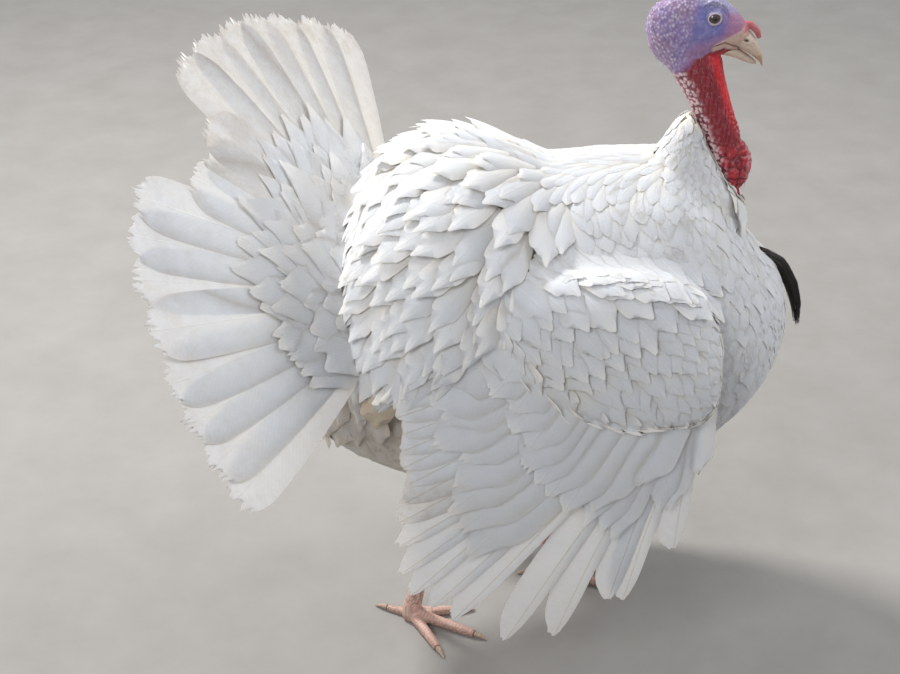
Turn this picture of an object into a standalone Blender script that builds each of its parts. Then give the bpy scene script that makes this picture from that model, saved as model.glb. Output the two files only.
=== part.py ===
"""White domestic turkey, an adult male in display, as a still life-size model.

The bird faces +X, its left side is +Y, and it stands on Z = 0. Every feathered form is the
outline of its feathers, out to their tips. The body is one smooth form of oval sections; the
wings, neck, tail and legs are fitted to it and kept a hair's breadth clear of each other.
All lengths are in metres and all angles in degrees.
"""
import math

import bmesh
import bpy
import numpy as np
from mathutils import Vector
from mathutils.bvhtree import BVHTree

# ---------------------------------------------------------------- driving dimensions
GAP = 0.0004                      # clearance between neighbouring pieces
SLIVER = 0.00010                  # edges shorter than this are closed up after a cut,
FINE_SLIVER = 0.00001             # or shorter than this where that would open the surface

# Each row of a section table: position, centre height, half height, half width.
TRUNK_ROWS = [                    # position is X, from breast to vent
    (0.2200, 0.446, 0.012, 0.014),
    (0.2150, 0.443, 0.040, 0.052),
    (0.2050, 0.441, 0.063, 0.080),
    (0.1850, 0.434, 0.088, 0.110),
    (0.1600, 0.437, 0.126, 0.135),
    (0.1250, 0.443, 0.168, 0.152),
    (0.0700, 0.446, 0.198, 0.164),
    (0.0000, 0.438, 0.206, 0.169),
    (-0.0800, 0.426, 0.212, 0.170),
    (-0.1600, 0.424, 0.208, 0.166),
    (-0.2200, 0.420, 0.196, 0.152),
    (-0.2700, 0.402, 0.160, 0.126),
    (-0.3100, 0.376, 0.116, 0.094),
    (-0.3350, 0.352, 0.072, 0.058),
    (-0.3450, 0.342, 0.030, 0.024),
]
RUMP_ROWS = [                     # raised feathers over the lower back; position is X
    (-0.0400, 0.450, 0.176, 0.158),
    (-0.0700, 0.446, 0.197, 0.178),
    (-0.1100, 0.445, 0.217, 0.195),
    (-0.1600, 0.442, 0.232, 0.203),
    (-0.2100, 0.436, 0.231, 0.196),
    (-0.2550, 0.427, 0.212, 0.172),
    (-0.2880, 0.418, 0.174, 0.136),
    (-0.3040, 0.410, 0.120, 0.094),
]
RUMP_EDGE = [(-0.03, 0.600), (-0.16, 0.500), (-0.31, 0.375)]  # lower edge in side view, X and Z

BELOW_RUMP_Z = 0.10               # the space below the cape reaches down to here,
BELOW_RUMP_HALF = 0.40            # and this far to each side
NECK_ROWS = [                     # feathered neck; position is height, then X, half depth, half width
    (0.560, 0.088, 0.076, 0.092),
    (0.600, 0.097, 0.063, 0.068),
    (0.630, 0.096, 0.044, 0.047),
    (0.660, 0.095, 0.029, 0.033),
    (0.685, 0.098, 0.017, 0.023),
    (0.702, 0.104, 0.009, 0.013),
]
BARE_NECK_ROWS = [                # naked neck; position is height, then X, half depth, half width
    (0.585, 0.139, 0.017, 0.016),
    (0.612, 0.141, 0.020, 0.019),
    (0.640, 0.138, 0.022, 0.021),
    (0.667, 0.131, 0.023, 0.0215),
    (0.690, 0.123, 0.023, 0.0215),
    (0.712, 0.115, 0.0245, 0.022),
    (0.735, 0.105, 0.028, 0.023),
    (0.755, 0.096, 0.033, 0.0235),
    (0.778, 0.091, 0.030, 0.0190),
]
HEAD_ROWS = [                     # position is X, from occiput to bill base
    (0.0445, 0.794, 0.007, 0.0060),
    (0.0480, 0.792, 0.021, 0.0135),
    (0.0560, 0.790, 0.032, 0.0190),
    (0.0700, 0.787, 0.041, 0.0235),
    (0.0880, 0.789, 0.043, 0.0255),
    (0.1060, 0.793, 0.0395, 0.0250),
    (0.1220, 0.7925, 0.0345, 0.0215),
    (0.1360, 0.7905, 0.0265, 0.0165),
    (0.1480, 0.7860, 0.0175, 0.0115),
    (0.1560, 0.7830, 0.0080, 0.0060),
]
UPPER_BILL_ROWS = [               # position is X
    (0.1380, 0.7800, 0.0090, 0.0110),
    (0.1480, 0.7790, 0.0125, 0.0108),
    (0.1570, 0.7750, 0.0135, 0.0096),
    (0.1640, 0.7680, 0.0115, 0.0078),
    (0.1695, 0.7600, 0.0085, 0.0056),
    (0.1732, 0.7520, 0.0055, 0.0034),
    (0.1745, 0.7465, 0.0022, 0.0014),
]
LOWER_BILL_ROWS = [               # position is X
    (0.1260, 0.7690, 0.0080, 0.0108),
    (0.1380, 0.7650, 0.0068, 0.0096),
    (0.1500, 0.7590, 0.0060, 0.0078),
    (0.1590, 0.7540, 0.0047, 0.0056),
    (0.1645, 0.7510, 0.0031, 0.0036),
    (0.1672, 0.7495, 0.0014, 0.0016),
]

EYE = (0.1140, 0.0165, 0.8090)    # centre of the left eye
EYE_RADIUS = 0.0085
SNOOD = [                         # X, Z and radius, from the forehead over the bill
    (0.1500, 0.7955, 0.0036),
    (0.1580, 0.7945, 0.0038),
    (0.1660, 0.7865, 0.0034),
    (0.1690, 0.7785, 0.0024),
]
WATTLE_CENTRE = (0.1465, 0.0, 0.6290)
WATTLE_HALF = (0.0235, 0.0265, 0.0310)
WATTLE_LUMP = 0.07                # height of the caruncles, as a share of the wattle's size
BEARD = [                         # X, Z and radius, from the breast down
    (0.190, 0.512, 0.0075), (0.212, 0.498, 0.0080), (0.228, 0.470, 0.0078),
    (0.237, 0.440, 0.0062), (0.240, 0.411, 0.0028),
]

# Tail fan: feathers spread from one base point, over a shallow cone tilted to the right.
FAN_BASE = (-0.229, 0.0, 0.470)
FAN_AXIS = (-0.661, -0.234, 0.713)     # along the middle feather
FAN_ACROSS = (0.122, 0.904, 0.410)     # towards the bird's left edge of the fan
FAN_CONE = -5.9
FAN_FEATHERS = 18
FAN_HALF_SPREAD = 67.0
FAN_LENGTH = 0.390
FAN_FEATHER_WIDTH = 0.064
FAN_GAP_AT = 3.5                  # direction where the feathers are shorter
FAN_GAP_WIDTH = 12.5
FAN_GAP_DEPTH = 0.085
COVERT_REACH = 0.225              # upper tail coverts, on the fan's front
COVERT_SPREAD = 62.0
UNDERTAIL_REACH = 0.190           # under tail coverts, on the fan's back
FAN_START = 0.070                 # distance from the base point to where the feathers begin
COVERT_START = 0.050
FAN_BACK = -0.0010                # the fan's back, from the cone through the base point
FAN_ROOT_THICK = 0.0050
COVERT_BACK = 0.0045
COVERT_ROOT_THICK = 0.0220
COVERT_TIP_THICK = 0.0030
UNDERTAIL_BACK = (-0.0300, -0.0040)    # at the roots and at the tips
UNDERTAIL_ROOT_THICK = 0.0280
UNDERTAIL_TIP_THICK = 0.0026

# Wing, drooped: flight feathers spread from the wrist, seen from the side in X and Z.
WRIST = (0.118, 0.460)
ARM_ROWS = [                      # covert pad; position is X
    (0.1200, 0.462, 0.020, 0.008),
    (0.1150, 0.462, 0.046, 0.017),
    (0.1000, 0.468, 0.070, 0.024),
    (0.0650, 0.476, 0.084, 0.029),
    (0.0100, 0.482, 0.088, 0.031),
    (-0.0500, 0.490, 0.080, 0.030),
    (-0.1000, 0.502, 0.060, 0.026),
    (-0.1300, 0.512, 0.030, 0.016),
]
ARM_SIDE = 0.172                  # distance of the covert pad's middle from the body's mid-plane
ARM_LEAN = 0.24                   # the pad's top lies closer to the body than its lower edge
WING_SIDE = 0.202                 # furthest reach of the wing from the mid-plane
WING_WIDEST_Z = 0.37
PRIMARY_ROOT = [(0.108, 0.400), (0.030, 0.398)]
PRIMARY_TIPS = [                  # from the leading edge back, X and Z
    (0.076, 0.207), (0.039, 0.192), (0.001, 0.125), (-0.063, 0.054), (-0.130, 0.036),
    (-0.195, 0.082), (-0.223, 0.106), (-0.239, 0.137), (-0.249, 0.178), (-0.251, 0.225),
]
PRIMARY_WIDTH = 0.040
SECONDARY_ROOT = [(0.010, 0.400), (-0.090, 0.490)]
SECONDARY_TIPS = [                # X and Z
    (-0.247, 0.262), (-0.243, 0.298), (-0.240, 0.334), (-0.241, 0.368), (-0.243, 0.400), (-0.240, 0.432),
]
SECONDARY_WIDTH = 0.052
WING_FIRST, WING_LAST = 4.0, 99.0      # directions of the feathers from the wrist, back from straight down
WING_PART_AT = 62.5               # direction of the cut between primaries and secondaries
PRIMARY_STEPS, SECONDARY_STEPS = 44, 16
WING_REACH_LIMITS = (0.10, 0.48)  # no feather's edge is nearer to the wrist or further from it
FEATHER_THICK = 0.0018            # of a flight feather's tip, and of a tail feather's
ROOT_THICK = 0.0100               # of the feathers together where they leave the wing

# Legs: hip, hock and foot, as X, Y and Z on the left and on the right.
LEGS = {
    "left": {
        "hip": (-0.030, 0.085, 0.330),
        "hock": (-0.088, 0.066, 0.188),
        "foot": (-0.045, 0.052, 0.016),
        "heading": 4.0,
    },
    "right": {
        "hip": (-0.100, -0.082, 0.330),
        "hock": (-0.188, -0.060, 0.190),
        "foot": (-0.242, -0.033, 0.016),
        "heading": -28.0,
    },
}
THIGH_BOW, SHANK_BOW = 0.012, -0.004   # how far the middle is bowed forward
THIGH_RADII = [0.074, 0.062, 0.044, 0.030, 0.021]
SHANK_RADII = [0.0145, 0.0098, 0.0088, 0.0095, 0.0130]
TOES = {                          # heading from the leg's, length, root radius
    "inner": (-34.0, 0.066, 0.0088),
    "middle": (0.0, 0.092, 0.0092),
    "outer": (36.0, 0.076, 0.0088),
    "hind": (178.0, 0.036, 0.0070),
}
TOE_START = 0.003                 # distance of the toes' roots from the middle of the foot
TOE_TAPER = 0.34                  # share of its radius that a toe loses by its tip
TOE_HEIGHT = 0.80                 # height of a toe's middle, as a share of its radius
PAD = [(-0.0178, 0.0120), (-0.0080, 0.0140), (0.0040, 0.0115)]     # height from the foot's middle, radius
CLAW_LENGTH = 0.019
CLAW_ROWS = [                     # share of the length from the toe's tip, height, radius
    (-0.25, 0.0044, 0.0040),
    (0.20, 0.0052, 0.0040),
    (0.60, 0.0040, 0.0028),
    (1.00, 0.0014, 0.0010),
]
SOLE = 0.0                        # height of the flat undersides of the toes

COLLECTION = "white_turkey"


# ---------------------------------------------------------------- scene and materials
def clear_scene():
    for old in list(bpy.data.objects):
        bpy.data.objects.remove(old, do_unlink=True)


def make_collection(name):
    collection = bpy.data.collections.new(name)
    bpy.context.scene.collection.children.link(collection)
    return collection


def make_material(name, colour, roughness):
    material = bpy.data.materials.new(name)
    material.use_nodes = True
    shader = material.node_tree.nodes["Principled BSDF"]
    shader.inputs["Base Color"].default_value = (*colour, 1.0)
    shader.inputs["Roughness"].default_value = roughness
    shader.inputs["Metallic"].default_value = 0.0
    material.diffuse_color = (*colour, 1.0)
    return material


clear_scene()
PARTS = make_collection(COLLECTION)
CUTTERS = make_collection("cutters")
FEATHER = make_material("white_feather", (0.86, 0.85, 0.81), 0.70)
RED_SKIN = make_material("red_skin", (0.60, 0.03, 0.04), 0.45)
BLUE_SKIN = make_material("blue_skin", (0.42, 0.40, 0.66), 0.50)
HORN = make_material("horn", (0.72, 0.60, 0.45), 0.40)
EYE_DARK = make_material("eye_dark", (0.05, 0.03, 0.03), 0.08)
BRISTLE = make_material("black_bristle", (0.03, 0.03, 0.03), 0.60)
SCALE = make_material("pink_scale", (0.72, 0.50, 0.44), 0.50)


# ---------------------------------------------------------------- shapes
def smooth_rows(rows, steps):
    """Rows of a section table with `steps` spans for each of its own, on a smooth curve."""
    table = np.array(rows, dtype=float)
    padded = np.vstack([2 * table[0] - table[1], table, 2 * table[-1] - table[-2]])
    result = []
    for i in range(1, len(padded) - 2):
        before, start, end, after = padded[i - 1:i + 3]
        for t in np.arange(steps) / steps:
            result.append(0.5 * (2 * start + (end - before) * t
                                 + (2 * before - 5 * start + 4 * end - after) * t ** 2
                                 + (3 * start - before - 3 * end + after) * t ** 3))
    result.append(table[-1])
    return result


def new_object(name, vertices, faces, material, collection=None):
    mesh = bpy.data.meshes.new(name)
    mesh.from_pydata([tuple(v) for v in vertices], [], faces)
    mesh.update()
    shape = bmesh.new()
    shape.from_mesh(mesh)
    bmesh.ops.recalc_face_normals(shape, faces=shape.faces)
    bmesh.ops.triangulate(shape, faces=shape.faces)
    shape.to_mesh(mesh)
    shape.free()
    mesh.materials.append(material)
    piece = bpy.data.objects.new(name, mesh)
    (collection or PARTS).objects.link(piece)
    return piece


def loft(name, rings, material):
    """A closed form through rings of equal count, each closed by a flat end."""
    count = len(rings[0])
    vertices = [point for ring in rings for point in ring]
    faces = [tuple(range(count)), tuple(range(len(vertices) - count, len(vertices)))]
    for i in range(len(rings) - 1):
        for j in range(count):
            k = (j + 1) % count
            faces.append((i * count + j, i * count + k, (i + 1) * count + k, (i + 1) * count + j))
    return new_object(name, vertices, faces, material)


def oval(centre, first, second, count):
    """A ring of points: centre, and the two half axes of the oval as vectors."""
    angles = 2 * math.pi * np.arange(count) / count
    return [np.array(centre) + np.cos(a) * np.array(first) + np.sin(a) * np.array(second) for a in angles]


def upright_sections(name, rows, material, count=20, steps=2, side=0.0, lean=0.0):
    """A loft whose sections stand across the X axis; `lean` tips their tops sideways."""
    rings = [oval((x, side, z), (0, lean * tall, tall), (0, wide, 0), count)
             for x, z, tall, wide in smooth_rows(rows, steps)]
    return loft(name, rings, material)


def level_sections(name, rows, material, count=18, steps=2):
    """A loft whose sections are level, one above the other."""
    rings = [oval((x, 0, z), (deep, 0, 0), (0, wide, 0), count)
             for z, x, deep, wide in smooth_rows(rows, steps)]
    return loft(name, rings, material)


def tube(name, points, radii, material, count=10, floor=None):
    """A round form along a path; `floor` flattens what would reach below that height."""
    path = [Vector(p) for p in points]
    rings = []
    for i, point in enumerate(path):
        ahead = (path[min(i + 1, len(path) - 1)] - path[max(i - 1, 0)]).normalized()
        reference = Vector((0, 1, 0)) if abs(ahead.y) < 0.9 else Vector((1, 0, 0))
        first = ahead.cross(reference).normalized()
        second = ahead.cross(first)
        ring = oval(point, first * radii[i], second * radii[i], count)
        if floor is not None:
            ring = [np.array((p[0], p[1], max(p[2], floor))) for p in ring]
        rings.append(ring)
    return loft(name, rings, material)


def sheet(name, outer, inner, material):
    """A closed form between two grids of points of the same shape."""
    rows, columns = len(outer), len(outer[0])
    vertices = [p for row in outer for p in row] + [p for row in inner for p in row]
    back = rows * columns
    faces = []
    for i in range(rows - 1):
        for j in range(columns - 1):
            a, b = i * columns + j, i * columns + j + 1
            c, d = b + columns, a + columns
            faces.append((a, b, c, d))
            faces.append((back + d, back + c, back + b, back + a))
    rim = [j for j in range(columns)]
    rim += [i * columns + columns - 1 for i in range(1, rows)]
    rim += [(rows - 1) * columns + j for j in range(columns - 2, -1, -1)]
    rim += [i * columns for i in range(rows - 2, 0, -1)]
    for a, b in zip(rim, rim[1:] + rim[:1]):
        faces.append((b, a, back + a, back + b))
    return new_object(name, vertices, faces, material)


# ---------------------------------------------------------------- fitting pieces together
def evaluated_mesh(piece):
    graph = bpy.context.evaluated_depsgraph_get()
    return bpy.data.meshes.new_from_object(piece.evaluated_get(graph))


def tidy_copy(mesh, sliver):
    """The mesh without its short edges, or None where closing them up would open the surface."""
    shape = bmesh.new()
    shape.from_mesh(mesh)
    bmesh.ops.dissolve_degenerate(shape, edges=shape.edges, dist=sliver)
    if all(len(edge.link_faces) == 2 for edge in shape.edges):
        return shape
    shape.free()
    return None


def keep_largest_body(shape):
    islands = []
    unseen = set(shape.verts)
    while unseen:
        stack = [unseen.pop()]
        island = set(stack)
        while stack:
            for edge in stack.pop().link_edges:
                for vertex in edge.verts:
                    if vertex not in island:
                        island.add(vertex)
                        stack.append(vertex)
        unseen -= island
        islands.append(island)
    largest = max(islands, key=len)
    spare = [v for v in shape.verts if v not in largest]
    bmesh.ops.delete(shape, geom=spare, context="VERTS")


def apply_modifiers(piece):
    """Turn the piece's modifiers into one closed mesh of triangles; False if it isn't closed."""
    mesh = evaluated_mesh(piece)
    shape = tidy_copy(mesh, SLIVER) or tidy_copy(mesh, FINE_SLIVER)
    piece.modifiers.clear()
    if shape is None:
        return False
    piece.data = mesh
    keep_largest_body(shape)
    bmesh.ops.triangulate(shape, faces=shape.faces)
    shape.to_mesh(mesh)
    shape.free()
    return True


def boolean(piece, cutter, operation):
    cut = piece.modifiers.new(operation.lower(), "BOOLEAN")
    cut.operation = operation
    cut.solver = "EXACT"
    cut.object = cutter


def grown_copy(piece, margin):
    """A cutter: the piece's own shape, swollen by the margin."""
    mesh = evaluated_mesh(piece)
    cutter = bpy.data.objects.new(piece.name + "_cutter", mesh)
    CUTTERS.objects.link(cutter)
    cutter.hide_render = True
    cutter.display_type = "WIRE"
    swell = cutter.modifiers.new("swell", "DISPLACE")
    swell.mid_level = 0.0
    swell.strength = margin
    bpy.context.view_layer.update()
    return cutter


def surface_tree(piece):
    mesh = evaluated_mesh(piece)
    triangles = [tuple(face.vertices) for face in mesh.polygons]
    tree = BVHTree.FromPolygons([v.co.copy() for v in mesh.vertices], triangles)
    bpy.data.meshes.remove(mesh)
    return tree


def keep_clear(piece, *neighbours):
    """Cut the piece back from its neighbours, leaving the clearance between them.

    Where a cut would leave two faces that only touch along an edge, it is made a little wider.
    """
    for neighbour in neighbours:
        for widening in (1.0, 1.25, 1.5, 1.75, 2.0):
            cutter = grown_copy(neighbour, GAP * widening)
            done = not surface_tree(piece).overlap(surface_tree(cutter))
            if not done:
                boolean(piece, cutter, "DIFFERENCE")
                done = apply_modifiers(piece)
            bpy.data.objects.remove(cutter, do_unlink=True)
            if done:
                break
        else:
            raise RuntimeError(piece.name + " can't be cut clear of " + neighbour.name)


def join_all(name, pieces):
    """Unite overlapping pieces into one body."""
    body = pieces[0]
    for other in pieces[1:]:
        boolean(body, other, "UNION")
        apply_modifiers(body)
        bpy.data.objects.remove(other, do_unlink=True)
    body.name = name
    return body


# ---------------------------------------------------------------- trunk, rump and neck
def make_trunk():
    return upright_sections("trunk", TRUNK_ROWS, FEATHER, count=22, steps=1)


def make_rump():
    """Raised feathers over the lower back: a cape, open below, with a slanting lower edge."""
    rump = upright_sections("rump", RUMP_ROWS, FEATHER, count=24, steps=1)
    (front_x, front_z), (rear_x, rear_z) = RUMP_EDGE[0], RUMP_EDGE[-1]
    outline = [(front_x + 0.05, front_z + 0.03), *RUMP_EDGE, (rear_x - 0.06, rear_z - 0.05),
               (rear_x - 0.06, BELOW_RUMP_Z), (front_x + 0.05, BELOW_RUMP_Z)]
    rings = [[np.array((x, y, z)) for x, z in outline] for y in (-BELOW_RUMP_HALF, BELOW_RUMP_HALF)]
    below = loft("below_rump", rings, FEATHER)
    boolean(rump, below, "DIFFERENCE")
    apply_modifiers(rump)
    bpy.data.objects.remove(below, do_unlink=True)
    return rump


# ---------------------------------------------------------------- tail
def fan_direction(angle):
    """Unit direction of a tail feather, and the fan's front normal there."""
    axis = Vector(FAN_AXIS).normalized()
    across = Vector(FAN_ACROSS)
    across = (across - axis * across.dot(axis)).normalized()
    front = axis.cross(across)
    if front.x < 0:
        front = -front
    cone = math.radians(FAN_CONE)
    turn = math.radians(angle)
    radial = axis * math.cos(turn) + across * math.sin(turn)
    direction = radial * math.cos(cone) + front * math.sin(cone)
    normal = front * math.cos(cone) - radial * math.sin(cone)
    return direction, normal


def fan_reach(angle):
    """Distance from the base point to the fan's scalloped edge."""
    step = 2 * FAN_HALF_SPREAD / (FAN_FEATHERS - 1)
    index = min(max(round((angle + FAN_HALF_SPREAD) / step), 0), FAN_FEATHERS - 1)
    middle = -FAN_HALF_SPREAD + index * step
    short = FAN_GAP_DEPTH * math.exp(-((middle - FAN_GAP_AT) / FAN_GAP_WIDTH) ** 4)
    across = (angle - middle) / (0.5 * step)
    return (FAN_LENGTH - short) * (1 - 0.040 * min(abs(across), 1.0) ** 3)


def fan_angles(spread, per_feather):
    """Directions over the fan, with a few to each feather."""
    step = 2 * FAN_HALF_SPREAD / (FAN_FEATHERS - 1)
    places = [(k + 0.5) / per_feather - 0.5 for k in range(per_feather)]
    angles = [-FAN_HALF_SPREAD + (i + place) * step for i in range(FAN_FEATHERS) for place in places]
    return [a for a in angles if abs(a) <= spread]


def fan_sheet(name, angles, start, reach, radial_steps, front_of, thick_root, thick_tip):
    """A curved sheet over the fan; front_of and thickness are measured along its front normal."""
    base = Vector(FAN_BASE)
    front, back = [], []
    for angle in angles:
        direction, normal = fan_direction(angle)
        front_row, back_row = [], []
        for k in range(radial_steps + 1):
            share = k / radial_steps
            radius = start + (reach(angle) - start) * share
            point = base + direction * radius
            offset = front_of(share)
            thick = thick_root + (thick_tip - thick_root) * share
            front_row.append(np.array(point + normal * (offset + thick)))
            back_row.append(np.array(point + normal * offset))
        front.append(front_row)
        back.append(back_row)
    return sheet(name, front, back, FEATHER)


def make_tail(trunk, rump):
    spread = FAN_HALF_SPREAD + 0.5 * FAN_FEATHER_WIDTH / FAN_LENGTH * 180 / math.pi
    fan = fan_sheet("tail_fan", fan_angles(spread, 3), FAN_START, fan_reach, 2,
                    lambda share: FAN_BACK, FAN_ROOT_THICK, FEATHER_THICK)

    def covert_reach(angle):
        return COVERT_REACH * (1 - 0.10 * (angle / COVERT_SPREAD) ** 2 - 0.03 * (1 - math.cos(angle * 0.8)))

    coverts = fan_sheet("tail_coverts", fan_angles(COVERT_SPREAD, 1), COVERT_START, covert_reach, 3,
                        lambda share: COVERT_BACK, COVERT_ROOT_THICK, COVERT_TIP_THICK)

    def undertail_reach(angle):
        return UNDERTAIL_REACH * (1 - 0.12 * (angle / COVERT_SPREAD) ** 2)

    def undertail_back(share):
        return UNDERTAIL_BACK[0] + (UNDERTAIL_BACK[1] - UNDERTAIL_BACK[0]) * share

    under = fan_sheet("undertail_coverts", fan_angles(COVERT_SPREAD, 1), COVERT_START, undertail_reach, 2,
                      undertail_back, UNDERTAIL_ROOT_THICK, UNDERTAIL_TIP_THICK)
    for piece in (fan, coverts, under):
        keep_clear(piece, trunk, rump)
    return fan, coverts, under


# ---------------------------------------------------------------- head and neck
def make_wattle():
    """Fleshy caruncles at the base of the naked neck: one lumpy mass."""
    bpy.ops.mesh.primitive_uv_sphere_add(segments=14, ring_count=9, radius=1.0)
    wattle = bpy.context.object
    take_in(wattle, "wattle", RED_SKIN)
    for vertex in wattle.data.vertices:
        x, y, z = vertex.co
        lump = math.sin(5.3 * x + 2.0) * math.sin(6.1 * y) + math.sin(6.7 * z + 1.0) * math.cos(5.2 * y)
        vertex.co *= 1 + WATTLE_LUMP * lump
        vertex.co = Vector([c + h * v for c, h, v in zip(WATTLE_CENTRE, WATTLE_HALF, vertex.co)])
    return wattle


def take_in(piece, name, material):
    """Name a new primitive, put it with the parts and split its faces into triangles."""
    for collection in list(piece.users_collection):
        collection.objects.unlink(piece)
    PARTS.objects.link(piece)
    piece.name = name
    piece.data.name = name
    piece.data.materials.append(material)
    shape = bmesh.new()
    shape.from_mesh(piece.data)
    bmesh.ops.triangulate(shape, faces=shape.faces)
    shape.to_mesh(piece.data)
    shape.free()


def make_eye(side, sign):
    bpy.ops.mesh.primitive_uv_sphere_add(segments=12, ring_count=7, radius=EYE_RADIUS)
    eye = bpy.context.object
    take_in(eye, "eye_" + side, EYE_DARK)
    for vertex in eye.data.vertices:
        vertex.co += Vector((EYE[0], sign * EYE[1], EYE[2]))
    return eye


def make_head_and_neck(trunk):
    eyes = [make_eye("left", 1), make_eye("right", -1)]
    head = upright_sections("head", HEAD_ROWS, BLUE_SKIN, count=16, steps=1)
    wattle = make_wattle()
    bare = level_sections("naked_neck", BARE_NECK_ROWS, RED_SKIN, count=12, steps=1)
    neck = level_sections("feathered_neck", NECK_ROWS, FEATHER, count=16, steps=1)
    upper = upright_sections("bill_upper", UPPER_BILL_ROWS, HORN, count=12, steps=1)
    lower = upright_sections("bill_lower", LOWER_BILL_ROWS, HORN, count=12, steps=1)
    snood = tube("snood", [(x, 0, z) for x, z, r in SNOOD], [r for x, z, r in SNOOD], RED_SKIN, count=8)
    beard = tube("beard", [(x, 0, z) for x, z, r in BEARD], [r for x, z, r in BEARD], BRISTLE, count=8)
    keep_clear(neck, trunk, bare, wattle)
    keep_clear(lower, head, bare, upper)
    keep_clear(snood, head, upper)
    keep_clear(upper, head)
    keep_clear(bare, head, wattle, trunk)
    keep_clear(wattle, trunk)
    keep_clear(head, *eyes)
    keep_clear(beard, trunk)


# ---------------------------------------------------------------- wings
def wing_side(x, z):
    """Distance of the wing's outer face from the mid-plane."""
    droop = 0.55 * (z - WING_WIDEST_Z) ** 2
    ahead = max(0.0, x - 0.02) ** 2
    return WING_SIDE - droop - ahead - 0.3 * (x + 0.05) ** 2


def blades(root, tips, width):
    """Feather blades in side view: root, tip and half width of each."""
    start, end = Vector(root[0]), Vector(root[1])
    shares = [i / (len(tips) - 1) for i in range(len(tips))]
    return [(start.lerp(end, share), Vector(tip), 0.5 * width) for share, tip in zip(shares, tips)]


def inside_blade(point, blade):
    root, tip, half = blade
    along = tip - root
    length = along.length
    along.normalize()
    offset = point - root
    distance = offset.dot(along)
    if not 0.0 <= distance <= length:
        return False
    round_off = min(1.0, (length - distance) / (1.6 * half))
    taper = math.sqrt(max(0.0, 1 - (1 - round_off) ** 2))
    return abs(offset.x * along.y - offset.y * along.x) <= half * taper


def wing_reach(angle, feathers):
    """Distance from the wrist to the edge of the spread feathers, at an angle back from down."""
    turn = math.radians(angle)
    direction = Vector((-math.sin(turn), -math.cos(turn)))
    start = Vector(WRIST)
    nearest, distance = WING_REACH_LIMITS
    step = 0.0015
    while distance > nearest:
        point = start + direction * distance
        if any(inside_blade(point, blade) for blade in feathers):
            return distance
        distance -= step
    return distance


def wing_start(angle):
    """Distance from the wrist to where the flight feathers leave the coverts."""
    turn = math.radians(angle)
    under = (WRIST[1] - 0.425) / max(math.cos(turn), 0.05)
    behind = 0.150 + 0.0012 * (angle - 75.0)
    return min(under, behind)


def wing_sheet(name, sign, angles, feathers, radial_steps):
    outer, inner = [], []
    for angle in angles:
        turn = math.radians(angle)
        first, last = wing_start(angle), wing_reach(angle, feathers)
        outer_row, inner_row = [], []
        for k in range(radial_steps + 1):
            share = k / radial_steps
            distance = first + (last - first) * share
            x = WRIST[0] - distance * math.sin(turn)
            z = WRIST[1] - distance * math.cos(turn)
            y = wing_side(x, z)
            thick = FEATHER_THICK + (ROOT_THICK - FEATHER_THICK) * (1 - share) ** 1.5
            outer_row.append(np.array((x, sign * y, z)))
            inner_row.append(np.array((x, sign * (y - thick), z)))
        outer.append(outer_row)
        inner.append(inner_row)
    return sheet(name, outer, inner, FEATHER)


def make_wing(side, sign, trunk, rump):
    arm = upright_sections("wing_arm_" + side, ARM_ROWS, FEATHER, count=16, steps=1, side=sign * ARM_SIDE,
                           lean=-sign * ARM_LEAN)
    primaries = blades(PRIMARY_ROOT, PRIMARY_TIPS, PRIMARY_WIDTH)
    secondaries = blades(SECONDARY_ROOT, SECONDARY_TIPS, SECONDARY_WIDTH)
    primary_angles = np.linspace(WING_FIRST, WING_PART_AT - 0.1, PRIMARY_STEPS)
    secondary_angles = np.linspace(WING_PART_AT + 0.1, WING_LAST, SECONDARY_STEPS)
    outer = wing_sheet("wing_primaries_" + side, sign, primary_angles, primaries + secondaries, 2)
    inner = wing_sheet("wing_secondaries_" + side, sign, secondary_angles, primaries + secondaries, 2)
    for piece in (outer, inner):
        keep_clear(piece, arm, trunk, rump)
    keep_clear(arm, trunk, rump)


# ---------------------------------------------------------------- legs
def path_points(start, end, count, bow):
    """Points from start to end, bowed forward in the middle, or back by a negative bow."""
    first, last = Vector(start), Vector(end)
    result = []
    for i in range(count):
        share = i / (count - 1)
        point = first.lerp(last, share)
        point.x += bow * math.sin(math.pi * share)
        result.append(point)
    return result


def cut_at_sole(foot):
    """Give the foot a flat underside."""
    bpy.ops.mesh.primitive_cube_add(size=1.0, location=(0, 0, SOLE - 0.5))
    slab = bpy.context.object
    boolean(foot, slab, "DIFFERENCE")
    apply_modifiers(foot)
    bpy.data.objects.remove(slab, do_unlink=True)


def make_foot(side, sign, leg, shank):
    ankle = Vector(leg["foot"])
    pad = [ankle + Vector((0, 0, height)) for height, radius in PAD]
    toes = [tube("pad", pad, [radius for height, radius in PAD], SCALE, count=10)]
    claws = []
    for name, (turn, length, radius) in TOES.items():
        heading = math.radians(leg["heading"] + sign * turn)
        ahead = Vector((math.cos(heading), math.sin(heading), 0))
        stations = [0.0, 0.35, 0.7, 1.0]
        points = [ankle + ahead * (TOE_START + (length - TOE_START) * s) for s in stations]
        radii = [radius * (1 - TOE_TAPER * s) for s in stations]
        for point, thick in zip(points, radii):
            point.z = SOLE + TOE_HEIGHT * thick
        toes.append(tube("toe", points, radii, SCALE, count=8))
        tip = points[-1]
        claw_points = [tip + ahead * (CLAW_LENGTH * share) for share, height, thick in CLAW_ROWS]
        claw_radii = [thick for share, height, thick in CLAW_ROWS]
        for point, (share, height, thick) in zip(claw_points, CLAW_ROWS):
            point.z = SOLE + height
        claws.append(tube("claw_" + name + "_" + side, claw_points, claw_radii, HORN, count=6, floor=SOLE))
    foot = join_all("foot_" + side, toes)
    cut_at_sole(foot)
    keep_clear(foot, shank)
    for claw in claws:
        keep_clear(claw, foot)


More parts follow.
